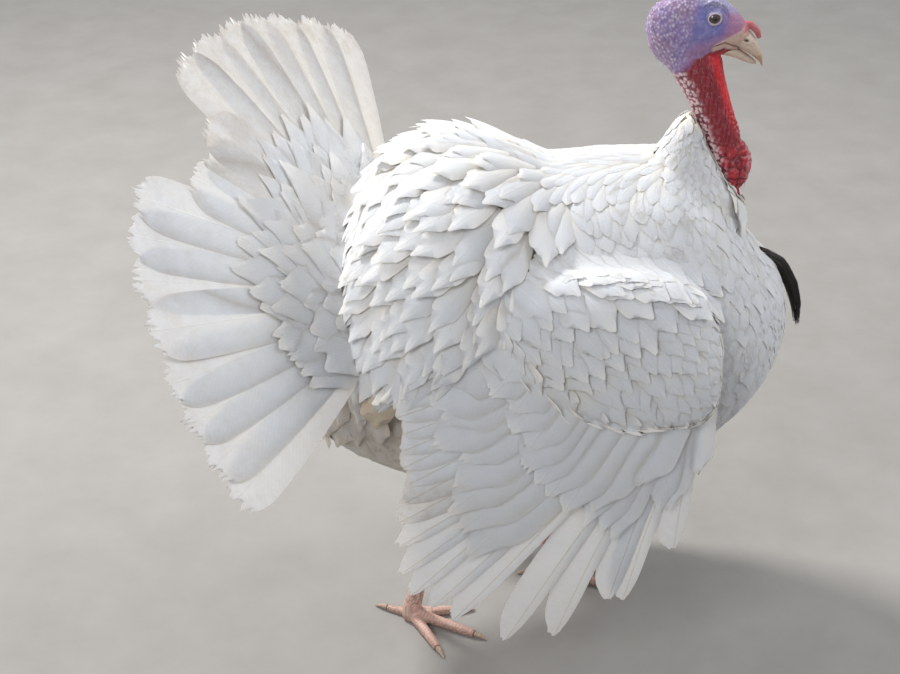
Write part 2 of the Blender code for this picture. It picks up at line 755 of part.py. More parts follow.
def make_leg(side, sign, trunk, wings):
    leg = LEGS[side]
    thigh = tube("thigh_" + side, path_points(leg["hip"], leg["hock"], len(THIGH_RADII), THIGH_BOW),
                 THIGH_RADII, FEATHER, count=14)
    shank = tube("shank_" + side, path_points(leg["hock"], leg["foot"], len(SHANK_RADII), SHANK_BOW),
                 SHANK_RADII, SCALE, count=10)
    keep_clear(thigh, trunk, shank, *wings)
    make_foot(side, sign, leg, shank)


# ---------------------------------------------------------------- the whole bird
def stand_on_origin():
    """Move the bird so that the middle of its box stands on the origin."""
    corners = [v.co for piece in PARTS.objects for v in piece.data.vertices]
    low = [min(c[i] for c in corners) for i in range(3)]
    high = [max(c[i] for c in corners) for i in range(3)]
    shift = Vector((-(low[0] + high[0]) / 2, -(low[1] + high[1]) / 2, -low[2]))
    for piece in PARTS.objects:
        for vertex in piece.data.vertices:
            vertex.co += shift


def shade(piece):
    piece.data.shade_smooth()
    piece.data.set_sharp_from_angle(angle=math.radians(40))


def build():
    trunk = make_trunk()
    rump = make_rump()
    make_tail(trunk, rump)
    make_head_and_neck(trunk)
    for side, sign in (("left", 1), ("right", -1)):
        make_wing(side, sign, trunk, rump)
        wings = [bpy.data.objects["wing_primaries_" + side], bpy.data.objects["wing_secondaries_" + side]]
        make_leg(side, sign, trunk, wings)
    keep_clear(rump, trunk)
    stand_on_origin()
    for piece in PARTS.objects:
        shade(piece)


build()
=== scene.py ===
"""The looks of a white domestic turkey in display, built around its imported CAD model.

Places called "bird" are metres in the bird's own frame, which SHIFT moves into the model's:
+X is the way the bird faces, +Y its left side, and Z = 0 the ground. Feathers are thin vanes
that start under the outline of the coat and rise to it at their tips.
"""
import math
from itertools import product

import bmesh
import bpy
import numpy as np
from mathutils import Matrix, Vector
from mathutils.bvhtree import BVHTree


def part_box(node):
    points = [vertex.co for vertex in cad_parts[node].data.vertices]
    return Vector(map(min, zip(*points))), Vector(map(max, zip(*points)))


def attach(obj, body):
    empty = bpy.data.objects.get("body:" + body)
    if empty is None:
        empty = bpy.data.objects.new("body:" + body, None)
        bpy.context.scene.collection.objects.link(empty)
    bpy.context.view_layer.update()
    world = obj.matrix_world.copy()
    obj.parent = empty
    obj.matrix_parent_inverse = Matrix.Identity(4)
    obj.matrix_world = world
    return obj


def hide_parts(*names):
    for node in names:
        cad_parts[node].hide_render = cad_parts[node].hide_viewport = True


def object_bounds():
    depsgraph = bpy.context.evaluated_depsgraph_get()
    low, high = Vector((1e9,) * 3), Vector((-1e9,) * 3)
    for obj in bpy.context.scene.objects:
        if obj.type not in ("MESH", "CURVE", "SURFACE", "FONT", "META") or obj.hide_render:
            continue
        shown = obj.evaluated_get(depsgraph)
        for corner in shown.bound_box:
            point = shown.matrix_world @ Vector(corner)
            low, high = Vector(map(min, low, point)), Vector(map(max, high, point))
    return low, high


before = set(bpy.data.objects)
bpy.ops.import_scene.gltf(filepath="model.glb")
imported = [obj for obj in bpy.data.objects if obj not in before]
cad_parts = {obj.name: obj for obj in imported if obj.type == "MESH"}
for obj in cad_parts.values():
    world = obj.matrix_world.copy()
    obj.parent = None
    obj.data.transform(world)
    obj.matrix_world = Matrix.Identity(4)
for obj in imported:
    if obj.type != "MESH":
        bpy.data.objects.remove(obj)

CAD_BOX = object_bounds()
SIGNS = {"left": 1, "right": -1}

# ---------------------------------------------------------------- where things are
EYE = np.array((0.114, -0.0165, 0.809))            # bird: centre of the right eye
EYE_RADIUS = 0.0085
eye_low, eye_high = (np.array(c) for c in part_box("eye_right"))
SHIFT = (eye_low + eye_high) / 2 - EYE
FLOOR_Z = CAD_BOX[0][2]


def node_arrays(name):
    """Points, in the bird's frame, and triangles of a node of the frame."""
    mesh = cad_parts[name].data
    points = np.empty(len(mesh.vertices) * 3)
    mesh.vertices.foreach_get("co", points)
    mesh.calc_loop_triangles()
    triangles = np.empty(len(mesh.loop_triangles) * 3, dtype=np.int64)
    mesh.loop_triangles.foreach_get("vertices", triangles)
    return points.reshape(-1, 3) - SHIFT, triangles.reshape(-1, 3)


def node_box(name):
    """Lowest and highest corners of a node, in the bird's frame."""
    return [np.array(corner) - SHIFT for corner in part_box(name)]


# ---------------------------------------------------------------- small sums
def ramp(value, low, high):
    """From 0 to 1 as a value goes from low to high, with soft ends."""
    share = np.clip((value - low) / (high - low), 0.0, 1.0)
    return share * share * (3 - 2 * share)


def unit(vectors):
    return vectors / np.maximum(np.linalg.norm(vectors, axis=-1, keepdims=True), 1e-9)


def blend(share, first, second):
    """Between two colours or vectors, for each share."""
    share = np.asarray(share)[..., None]
    return np.asarray(first) * (1 - share) + np.asarray(second) * share


def hash_values(cells, seed):
    """A steady random number from 0 to 1 for each row of whole numbers."""
    mixed = cells.astype(np.int64) @ np.array([73856093, 19349663, 83492791]) + seed * 2654435761
    mixed = (mixed ^ (mixed >> 13)) * 1274126177 & 0x7FFFFFFF
    mixed = (mixed ^ (mixed >> 15)) * 668265263 & 0x7FFFFFFF
    return (mixed & 0xFFFFF) / 0xFFFFF


def cellular(points, size, seed):
    """Distances to the two nearest random points of a grid, in cells, and the first's chance."""
    scaled = np.asarray(points) / size
    base = np.floor(scaled)
    nearest = np.full(len(scaled), 9.0)
    second = np.full(len(scaled), 9.0)
    chance = np.zeros(len(scaled))
    for step in product((-1, 0, 1), repeat=3):
        cell = base + step
        jitter = np.stack([hash_values(cell, seed + n) for n in range(3)], axis=1)
        distance = np.linalg.norm(cell + 0.15 + 0.7 * jitter - scaled, axis=1)
        closer = distance < nearest
        second = np.where(closer, nearest, np.minimum(second, distance))
        chance = np.where(closer, jitter[:, 0], chance)
        nearest = np.where(closer, distance, nearest)
    return nearest, second, chance


def cushions(points, size, seed, groove):
    """Random cells that rise from 0 at their borders to 1 within the width of a groove."""
    near, second, _ = cellular(points, size, seed)
    return np.clip((second - near) / groove, 0, 1)


def value_noise(points, size, seed):
    """Smooth random values from 0 to 1."""
    scaled = np.asarray(points) / size
    base = np.floor(scaled)
    part = scaled - base
    part = part * part * (3 - 2 * part)
    total = np.zeros(len(scaled))
    for step in product((0, 1), repeat=3):
        weight = np.prod(np.where(np.array(step) == 1, part, 1 - part), axis=1)
        total += weight * hash_values(base + step, seed)
    return total


def rough_noise(points, size, seed):
    """Value noise of three sizes, from 0 to 1."""
    total = sum(value_noise(points, size / 2 ** n, seed + 7 * n) / 2 ** n for n in range(3))
    return total / 1.75


# ---------------------------------------------------------------- meshes
def add_object(name, data):
    holder = bpy.data.objects.new(name, data)
    bpy.context.scene.collection.objects.link(holder)
    return holder


def add_piece(name, mesh, material, slot, *nodes):
    """A smooth piece of the scene, fixed to the model in place of the nodes."""
    mesh.polygons.foreach_set("use_smooth", np.ones(len(mesh.polygons), dtype=bool))
    mesh.materials.clear()
    mesh.materials.append(material)
    piece = add_object(name, mesh)
    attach(piece, "root")
    if nodes:
        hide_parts(*nodes)
    return piece


def mesh_from(points, faces):
    """A mesh from arrays of points, in the bird's frame, and of faces with equal sides."""
    mesh = bpy.data.meshes.new("piece")
    faces = np.asarray(faces)
    mesh.vertices.add(len(points))
    mesh.vertices.foreach_set("co", (np.asarray(points) + SHIFT).ravel())
    mesh.loops.add(faces.size)
    mesh.loops.foreach_set("vertex_index", faces.ravel().astype(np.int32))
    mesh.polygons.add(len(faces))
    mesh.polygons.foreach_set("loop_start", np.arange(0, faces.size, faces.shape[1], dtype=np.int32))
    mesh.update(calc_edges=True)
    mesh.validate()
    return mesh


def plain_mesh(points, faces):
    mesh = bpy.data.meshes.new("source")
    mesh.from_pydata(points.tolist(), [], faces.tolist())
    return mesh


def point_colours(piece, name, values):
    """Store a colour, or one number in its place, for each point, which materials can read."""
    attribute = piece.data.attributes.new(name, "FLOAT_COLOR", "POINT")
    colours = np.ones((len(values), 4))
    colours[:, :3] = values
    attribute.data.foreach_set("color", colours.ravel())


def add_uv(piece, name, values):
    corners = np.empty(len(piece.data.loops), dtype=np.int32)
    piece.data.loops.foreach_get("vertex_index", corners)
    layer = piece.data.uv_layers.new(name=name)
    layer.data.foreach_set("uv", np.asarray(values)[corners].ravel())


def mesh_arrays(mesh):
    points = np.empty(len(mesh.vertices) * 3)
    mesh.vertices.foreach_get("co", points)
    edges = np.empty(len(mesh.edges) * 2, dtype=np.int64)
    mesh.edges.foreach_get("vertices", edges)
    normals = np.empty(len(mesh.vertices) * 3)
    mesh.vertices.foreach_get("normal", normals)
    return points.reshape(-1, 3), edges.reshape(-1, 2), normals.reshape(-1, 3)


def set_points(mesh, points):
    mesh.vertices.foreach_set("co", np.asarray(points).ravel())
    mesh.update()


def smoothed(points, edges, rounds, strength=0.5):
    """Points drawn towards the mean of their neighbours."""
    points = points.copy()
    degree = np.bincount(edges.ravel(), minlength=len(points))[:, None]
    for _ in range(rounds):
        total = np.zeros_like(points)
        for axis in range(3):
            total[:, axis] = np.bincount(edges[:, 0], points[edges[:, 1], axis], len(points)) \
                + np.bincount(edges[:, 1], points[edges[:, 0], axis], len(points))
        points += strength * (total / degree - points)
    return points


def evaluated(holder):
    """The mesh of an object with its modifiers applied; the object is removed."""
    graph = bpy.context.evaluated_depsgraph_get()
    mesh = bpy.data.meshes.new_from_object(holder.evaluated_get(graph))
    bpy.data.objects.remove(holder, do_unlink=True)
    return mesh


def largest_island(mesh):
    shape = bmesh.new()
    shape.from_mesh(mesh)
    islands, unseen = [], set(shape.verts)
    while unseen:
        stack = [unseen.pop()]
        island = set(stack)
        while stack:
            for edge in stack.pop().link_edges:
                for vertex in edge.verts:
                    if vertex not in island:
                        island.add(vertex)
                        stack.append(vertex)
        unseen -= island
        islands.append(island)
    if len(islands) > 1:
        largest = max(islands, key=len)
        bmesh.ops.delete(shape, geom=[v for v in shape.verts if v not in largest], context="VERTS")
        shape.to_mesh(mesh)
    shape.free()
    return mesh


def united_mesh(names, voxel, swell, rounds):
    """One smooth closed mesh over several nodes, in the bird's frame.

    The nodes are swollen first, so that the gaps between them close, and the result is
    drawn in again by as much.
    """
    shape = bmesh.new()
    for name in names:
        shape.from_mesh(plain_mesh(*node_arrays(name)))
    bmesh.ops.remove_doubles(shape, verts=shape.verts, dist=0.00002)
    shape.normal_update()
    for vertex in shape.verts:
        vertex.co += vertex.normal * swell
    source = bpy.data.meshes.new("source")
    shape.to_mesh(source)
    shape.free()
    holder = add_object("source", source)
    remesh = holder.modifiers.new("remesh", "REMESH")
    remesh.mode = "VOXEL"
    remesh.voxel_size = voxel
    mesh = largest_island(evaluated(holder))
    points, edges, _ = mesh_arrays(mesh)
    set_points(mesh, smoothed(points, edges, rounds))
    points, edges, normals = mesh_arrays(mesh)
    set_points(mesh, points - normals * swell)
    return mesh


class Form:
    """A smooth closed surface that feathers are laid on."""

    def __init__(self, names, voxel, swell=0.0015, rounds=6):
        mesh = united_mesh(names, voxel, swell, rounds)
        self.points, self.edges, self.normals = mesh_arrays(mesh)
        self.faces = np.array([tuple(polygon.vertices)[:4] for polygon in mesh.polygons])
        self.tree = BVHTree.FromPolygons([Vector(p) for p in self.points], self.faces.tolist())

    def nearest(self, point):
        return self.tree.find_nearest(point)[:2]

    def scatter(self, spacing_at, seed, accept):
        """Points over the form, no closer to each other than the spacing there."""
        rng = np.random.default_rng(seed)
        first, second, third, fourth = (self.points[self.faces[:, n]] for n in range(4))
        area = np.linalg.norm(np.cross(third - first, fourth - second), axis=1) / 2
        centre = (first + third) / 2
        wanted = np.array([1.0 / spacing_at(c) ** 2 if accept(c) else 0.0 for c in centre])
        weight = area * wanted
        tries = int(weight.sum() * 9)
        picks = rng.choice(len(centre), size=tries, p=weight / weight.sum())
        a, b = rng.random((2, tries, 1))
        places = (first[picks] * (1 - a) + second[picks] * a) * (1 - b) \
            + (fourth[picks] * (1 - a) + third[picks] * a) * b
        cell = 0.01
        grid, kept = {}, []
        for place in places:
            gap = spacing_at(place)
            key = tuple(int(c) for c in np.floor(place / cell))
            reach = range(-math.ceil(gap / cell), math.ceil(gap / cell) + 1)
            near = [other for i in reach for j in reach for k in reach
                    for other in grid.get((key[0] + i, key[1] + j, key[2] + k), ())]
            if near and min(((np.array(near) - place) ** 2).sum(axis=1)) < gap * gap:
                continue
            grid.setdefault(key, []).append(place)
            kept.append(place)
        return np.array(kept)


# ---------------------------------------------------------------- feathers
PATCH = 0.003                                      # size of a feather's patch on the bake map
SHARP_EDGE = math.radians(100)                     # the angle of a vane's rim, which is shaded sharp


def sample_rows(rows, share):
    """Values between the stations of each row, and straight on past their ends."""
    last = rows.shape[1] - 1
    place = share * last
    low = np.clip(np.floor(place).astype(int), 0, last - 1)
    index = np.arange(rows.shape[0])[:, None]
    return rows[index, low] + (rows[index, low + 1] - rows[index, low]) * (place - low)[..., None]


def vane_width(v, root, widest, tip):
    """Half width along a feather, as a share of its greatest."""
    rise = root + (1 - root) * np.sin(np.clip(v / widest, 0, 1) * math.pi / 2)
    past = np.clip((v - widest) / (1 - widest), 0, 1)
    return rise * np.sqrt(1 - (1 - tip ** 2) * past ** 2.2)


def make_feathers(name, material, slot, line, normal, half_left, half_right, place, seed, across, along, root,
                  widest, tip, bow, camber, soil, sweep=0.0, tilt=0.0, thick=0.0003, fray=0.008, split=0.03,
                  slit=0.03, ruffle=0.0):
    """One piece of many vanes, each with a top and an underside that share its border.

    In two corners of a vane they coincide in one triangle, of which mesh_from leaves only one.
    line and normal give each feather's centre line and outward normal at a few stations, the
    half widths are to its two sides, and place is its place on the bake map. root, widest and
    tip shape its outline, bow draws the corners of its tip back, sweep slants its edge
    forward, camber rounds it across, tilt lifts its left edge, ruffle turns each vane at
    random, fray roughens its tip, and split is the share of its points there that are drawn
    in by slit.
    """
    rng = np.random.default_rng(seed)
    line, normal = np.asarray(line), np.asarray(normal)
    count = len(line)
    length = np.linalg.norm(np.diff(line, axis=1), axis=2).sum(axis=1)[:, None]
    u, v = np.linspace(-1, 1, across + 1), np.linspace(0, 1, along + 1)
    grid_u, grid_v = (grid.ravel()[None, :] for grid in np.meshgrid(u, v))
    side = np.abs(grid_u)
    half = np.where(grid_u < 0, np.broadcast_to(half_left, count)[:, None],
                    np.broadcast_to(half_right, count)[:, None])
    at_side, at_tip = side > 0.99, (grid_v > 0.99) & (side < 0.95)
    near_tip = np.clip((grid_v - 0.55) / 0.45, 0, 1) ** 2
    ragged = rng.normal(0, 1, (count, grid_u.size))
    width = vane_width(grid_v, root, widest, tip) * half * (1 + 0.5 * fray * ragged * at_side)
    slits = slit * (rng.random((count, grid_u.size)) < split) * at_tip
    reach = grid_v * (1 - bow * side ** 2.2 * near_tip) + at_tip * fray * ragged
    reach = reach - slits + sweep * side * half * grid_v * (1 - grid_v) / length
    centre = sample_rows(line, reach)
    out = unit(sample_rows(normal, reach))
    ahead = unit(sample_rows(line, reach + 0.03) - sample_rows(line, reach - 0.03))
    over = unit(np.cross(ahead, out))
    lean = np.broadcast_to(tilt, count)[:, None] + ruffle * rng.normal(0, 1, (count, 1)) * grid_v
    rise = -np.broadcast_to(camber, count)[:, None] * side ** 2 * width - lean * grid_u * width
    points = centre + over * (grid_u * width)[..., None] + out * rise[..., None]
    body = (thick * (1 - side ** 2) * (1 - 0.7 * grid_v) + 0.00002)[..., None]
    columns = across + 1
    border = at_side | (grid_v < 0.001) | (grid_v > 0.999)
    inner = np.flatnonzero(~border[0])
    upper = np.where(border[..., None], points, points + out * body)
    lower = (points - out * body)[:, inner]
    vertices = np.concatenate([upper, lower], axis=1)
    size = vertices.shape[1]
    below = np.arange(grid_u.size)
    below[inner] = grid_u.size + np.arange(len(inner))
    first = (np.arange(along)[:, None] * columns + np.arange(across)).ravel()
    corners = np.stack([first, first + 1, first + columns + 1, first + columns], axis=1)
    top = np.concatenate([corners[:, [0, 1, 2]], corners[:, [0, 2, 3]]])
    triangles = np.concatenate([top, below[top[:, ::-1]]])
    faces = (triangles[None] + (np.arange(count) * size)[:, None, None]).reshape(-1, 3)
    piece = add_piece(name, mesh_from(vertices.reshape(-1, 3), faces), material, slot)
    piece.data.set_sharp_from_angle(angle=SHARP_EDGE)

    def spread(*columns):
        """Values for each point of the piece, from values over the vanes' grid."""
        values = np.stack([np.broadcast_to(column, (count, grid_u.size)) for column in columns], axis=-1)
        return np.concatenate([values, values[:, inner]], axis=1).reshape(-1, len(columns))

    corner = np.clip(np.asarray(place), 0, 1 - PATCH)
    patch = corner[:, :1] + (grid_u + 1) / 2 * PATCH, corner[:, 1:] + grid_v * PATCH
    add_uv(piece, "OFBake", spread(*patch))
    add_uv(piece, "vane", spread(grid_u * width, grid_v * length))
    soiled = np.broadcast_to(soil, count)[:, None]
    point_colours(piece, "tone", spread(rng.random((count, 1)), grid_v, soiled))


def lay(form, roots, direction_at, length, stations, depth, lift, stiff):
    """Centre lines and normals of feathers that start at the roots and follow the form.

    They begin `depth` under the form and rise to `lift` over it at the tip. Where the form
    falls away under a feather, it goes on straight by the share `stiff`.
    """
    lines = np.empty((len(roots), stations, 3))
    normals = np.empty((len(roots), stations, 3))
    for i, root in enumerate(roots):
        place, normal = form.nearest(Vector(root))
        ahead = None
        for k in range(stations):
            share = k / (stations - 1)
            rise = -depth[i] * (1 - share) ** 1.5 + lift[i] * share ** 2
            lines[i, k] = place + normal * rise
            normals[i, k] = normal
            wanted = Vector(direction_at(np.array(place), i))
            wanted = (wanted - normal * wanted.dot(normal)).normalized()
            ahead = wanted if ahead is None else (ahead * stiff + wanted * (1 - stiff)).normalized()
            free = place + ahead * (length[i] / (stations - 1))
            place, turned = form.nearest(free)
            falls = float(ramp((free - place).dot(turned), 0.0008, 0.003))
            place = place.lerp(free, stiff * falls)
            normal = normal.lerp(turned, 1 - 0.3 * stiff - 0.6 * stiff * falls).normalized()
    return lines, normals


# ---------------------------------------------------------------- materials
WHITE = (0.885, 0.872, 0.845)
COOL = (0.72, 0.74, 0.79)
# The warm yellowish white of the vanes' painted shade at their hidden roots, and of their faint random tint.
CREAM = (0.84, 0.74, 0.57)
GRIME = (0.4, 0.29, 0.17)
STAIN = (0.6, 0.45, 0.28)
STAIN_POWER, STAIN_SHARE = 2.5, 0.9                # the stain's strength grows with this power of the soil
VENT = (-0.28, 0.0, 0.35)                          # bird: the middle of the soiled feathers
STAINED_TUFT = (-0.262, -0.165, 0.44)              # bird: a rusty tuft beside the vent
STAINED_RADIUS = 0.022


class Shader:
    """A new material, and the nodes that are added to it."""

    def __init__(self, name, **settings):
        self.material = bpy.data.materials.new(name)
        self.material.use_nodes = True
        self.tree = self.material.node_tree
        self.inputs = self.tree.nodes["Principled BSDF"].inputs
        self.place = self.add("TexCoord").outputs["Object"]
        for key, value in settings.items():
            self.inputs[key.replace("_", " ")].default_value = value

    def add(self, kind, inputs=None, **properties):
        """A node, with values or links for its inputs."""
        node = self.tree.nodes.new("ShaderNode" + kind)
        for key, value in properties.items():
            setattr(node, key, value)
        for key, value in (inputs or {}).items():
            if isinstance(value, bpy.types.NodeSocket):
                self.tree.links.new(value, node.inputs[key])
            else:
                node.inputs[key].default_value = value
        return node

    def calc(self, operation, *values, clamp=False):
        return self.add("Math", dict(enumerate(values)), operation=operation, use_clamp=clamp).outputs[0]

    def times(self, first, second, clamp=False):
        return self.calc("MULTIPLY", first, second, clamp=clamp)

    def scaled(self, value, factor, added, clamp=False):
        return self.calc("MULTIPLY_ADD", value, factor, added, clamp=clamp)

    def mix(self, share, first, second):
        """A colour between two others, for a share that is a number or a socket."""
        first, second = ((*c, 1.0) if isinstance(c, tuple) else c for c in (first, second))
        return self.add("Mix", {0: share, 6: first, 7: second}, data_type="RGBA").outputs[2]

    def between(self, value, low, high):
        return self.add("MapRange", {0: value, 1: low, 2: high, 3: 0.0, 4: 1.0}, clamp=True).outputs[0]

    def mottle(self, scale, low, high, detail=4.0, roughness=0.6, place=None):
        """Noise from 0 to 1, stretched between two of its levels."""
        value = self.add("TexNoise", {"Vector": place or self.place, "Scale": scale, "Detail": detail,
                                      "Roughness": roughness}).outputs[0]
        return self.between(value, low, high)

    def painted(self, name):
        """The colour that the points carry under a name."""
        return self.add("Attribute", attribute_name=name).outputs["Color"]

    def parts(self, name):
        return self.add("SeparateColor", {0: self.painted(name)}).outputs

    def give(self, name, value):
        self.tree.links.new(value, self.inputs[name])

    def bump(self, height, strength, distance):
        inputs = {"Strength": strength, "Distance": distance, "Height": height}
        self.give("Normal", self.add("Bump", inputs).outputs[0])


def feather_material(name, barb_rate, shaft_width, shaft_and_groove_shade_colour, root_shade, roughness):
    """White vanes: a shaft, slanted barbs, a cool or warm tint that differs at random, painted warm shade
    towards the hidden roots, painted shade in the troughs between the barbs and, on the quills, along the
    shaft, and soiled tips.
    """
    s = Shader(name, Roughness=roughness, Sheen_Weight=0.2, Sheen_Roughness=0.5, Specular_IOR_Level=0.35,
               Subsurface_Weight=0.45, Subsurface_Radius=(0.008, 0.006, 0.0042), Subsurface_Scale=1.0)
    across, along, _ = s.add("SeparateXYZ", {0: s.add("UVMap", uv_map="vane").outputs[0]}).outputs
    side = s.calc("ABSOLUTE", across)
    chance, share, soil = s.parts("tone")
    slant = s.calc("SUBTRACT", along, s.times(side, 1.15))
    parted = s.add("TexNoise", {"Vector": s.place, "Scale": 70.0, "Detail": 2.0}).outputs[0]
    phase = s.scaled(slant, barb_rate, s.times(parted, 11.0))
    barbs = s.scaled(s.calc("SINE", phase), 0.5, 0.5)
    coarse = s.scaled(s.calc("SINE", s.times(phase, 0.231)), 0.5, 0.5)
    shaft = s.between(side, shaft_width, shaft_width * 0.5)
    # A cool grey tint that differs at random between feathers and in patches, and painted shade: the troughs
    # between the barbs are greyer than their crests.
    shade = s.scaled(chance, 0.13, s.times(s.mottle(16.0, 0.4, 0.75), 0.34))
    shade = s.scaled(s.times(barbs, coarse), -0.1, s.calc("ADD", shade, 0.06), clamp=True)
    colour = s.mix(shade, WHITE, COOL)
    # Painted shade: the vanes turn warm yellowish towards their roots, which lie in the shade of the feathers
    # above; a faint random mottle of the same colour is their own tint.
    root_shade_and_tint = s.times(s.between(share, 0.72, 0.2), root_shade)
    root_shade_and_tint = s.scaled(s.mottle(7.0, 0.48, 0.72), 0.22, root_shade_and_tint, clamp=True)
    colour = s.mix(root_shade_and_tint, colour, CREAM)
    # The shaft line: its own pale colour on the body feathers, and on the quills a brownish line that is
    # painted shade of the groove along the shaft.
    colour = s.mix(s.times(shaft, 0.55), colour, shaft_and_groove_shade_colour)
    colour = s.mix(s.times(s.calc("POWER", soil, STAIN_POWER), STAIN_SHARE), colour, STAIN)
    grime = s.times(s.mottle(48.0, 0.4, 0.68, 6.0, 0.75), soil)
    worn = s.scaled(s.between(share, 0.8, 1.0), 0.6, 0.4)
    s.give("Base Color", s.mix(s.times(grime, worn, clamp=True), colour, GRIME))
    s.bump(s.calc("ADD", s.scaled(barbs, 0.3, s.times(coarse, 0.25)), shaft), 0.5, 0.0004)
    return s.material


# The second last number of each is the strength of the painted warm shade at the roots.
CONTOUR = feather_material("contour_feather", 4600.0, 0.0005, (0.9, 0.89, 0.86), 0.5, 0.62)
LARGE = feather_material("large_feather", 3600.0, 0.001, (0.93, 0.91, 0.86), 0.16, 0.5)
# The quills' brownish shaft colour is painted shade of the groove along the shaft.
QUILL = feather_material("flight_feather", 3600.0, 0.0012, (0.62, 0.54, 0.42), 0.2, 0.5)

# ---------------------------------------------------------------- the coat of the body
BODY_CENTRE_Z = 0.43                               # bird: the unwrap turns round this height
RUMP_FRONT_X = -0.035                              # bird: the raised feathers start behind this
RUMP_CENTRE = (-0.06, 0.655)                       # bird: X and Z that the raised feathers spread from
BODY_SPACING, RUMP_SPACING = 0.0124, 0.018         # distance between the roots of feathers
body_form = Form(["trunk", "rump", "feathered_neck", "thigh_left", "thigh_right"], 0.007)
arm_forms = {side: Form(["wing_arm_" + side], 0.005) for side in SIGNS}
arm_boxes = {side: node_box("wing_arm_" + side) for side in SIGNS}


def on_rump(p):
    """How far a point belongs to the raised feathers of the lower back, from 0 to 1."""
    edge = 0.6 - 0.8 * (-p[0] - 0.03)
    return ramp(-p[0], -RUMP_FRONT_X - 0.01, -RUMP_FRONT_X + 0.035) * ramp(p[2] - edge, -0.03, 0.01)


def on_neck(p):
    """How far a point belongs to the feathered neck, from 0 to 1."""
    above_back = 0.05 * ramp(-p[0], -0.1, -0.04) * ramp(-abs(p[1]), -0.08, -0.02)
    return ramp(p[2] - 0.5 * abs(p[0] - 0.1) - above_back, 0.585, 0.645) * ramp(p[0], 0.0, 0.05)


def on_ridge(p):
    """How far a point belongs to the ridge of the back, from 0 to 1."""
    ridge = ramp(-abs(p[1]), -0.11, -0.004) * ramp(p[2], 0.5, 0.54)
    return ridge * ramp(-p[0], -0.14, -0.09) * (1 - on_neck(p))


def flow(p):
    """Direction that the body's feathers lie in.

    They point back along the ridge of the back, turn outward beside it, spread from one
    place over the lower back, and elsewhere hang down, leaning forward on the flanks and
    breast and back on the belly.
    """
    sign = math.tanh(p[1] / 0.012)
    rump, neck = on_rump(p), on_neck(p)
    forward = 0.55 * ramp(p[2], 0.36, 0.5) - 0.75 * ramp(-p[2], -0.38, -0.26)
    forward = forward * (1 - rump) * (1 - neck)
    outward = 0.9 * ramp(p[2], 0.38, 0.5) * (1 - 0.8 * neck)
    behind = RUMP_CENTRE[0] - 0.25 * min(max(0.6 - p[2], 0.0), 0.2)
    spread = unit(np.array((0.8 * (p[0] - behind), 0.35 * p[1], p[2] - RUMP_CENTRE[1])))
    hanging = np.array((forward, outward * sign, -1.0)) * (1 - rump) + 1.3 * spread * rump
    ridge = on_ridge(p)
    aside = np.array((0.0, 3.2 * sign, -0.4)) * ridge * (1 - ridge)
    return hanging * (1 - ridge) + np.array((-1.2, 0.0, 0.25)) * ridge + aside


def body_spacing(p):
    """Distance between the roots of feathers."""
    neck, rump = on_neck(p), on_rump(p)
    leg = ramp(-p[2], -0.27, -0.21) * ramp(-p[0], -0.05, 0.0)
    front = ramp(p[0], 0.16, 0.21)
    size = BODY_SPACING * (1 - 0.22 * front) * (1 - 0.48 * neck) * (1 - 0.25 * leg)
    return (size * (1 - rump) + RUMP_SPACING * rump) * (1 - 0.22 * on_ridge(p))


def under_wing(p):
    """True where a wing's arm covers the body."""
    low, high = arm_boxes["left" if p[1] > 0 else "right"]
    inside = all(low[axis] + 0.035 < p[axis] < high[axis] - 0.045 for axis in (0, 2))
    return inside and abs(p[1]) > 0.12


def faces_down(p):
    """True under the lower edge of the raised feathers of the lower back."""
    return on_rump(p) > 0.3 and body_form.nearest(Vector(p))[1].z < -0.3


def unwrap_body(p):
    """Place of a root on the body's unwrap: along the body, and round it."""
    turn = math.atan2(p[1], p[2] - BODY_CENTRE_Z)
    return 0.02 + 0.94 * (0.27 - p[0]) / 0.64, 0.5 + 0.96 * turn / (2 * math.pi)


def vent_soil(points):
    """How soiled the coat and the skin are: a little everywhere, and most round the vent."""
    points = np.asarray(points)
    from_vent = np.linalg.norm((points - VENT) * (1.0, 0.5, 1.0), axis=1)
    soil = 0.04 + 0.8 * ramp(-from_vent, -0.2, -0.09)
    return np.where(np.linalg.norm(points - STAINED_TUFT, axis=1) < STAINED_RADIUS, 1.0, soil)


TRACTS = (("coat_rump", lambda p: on_rump(p) > 0.5),
          ("coat_neck", lambda p: on_neck(p) > 0.5),
          ("coat_back", lambda p: p[2] > 0.5 and p[0] < 0.12),
          ("coat_breast", lambda p: p[0] > 0.09),
          ("coat_flank", lambda p: p[2] > 0.33),
          ("coat_belly", lambda p: True))


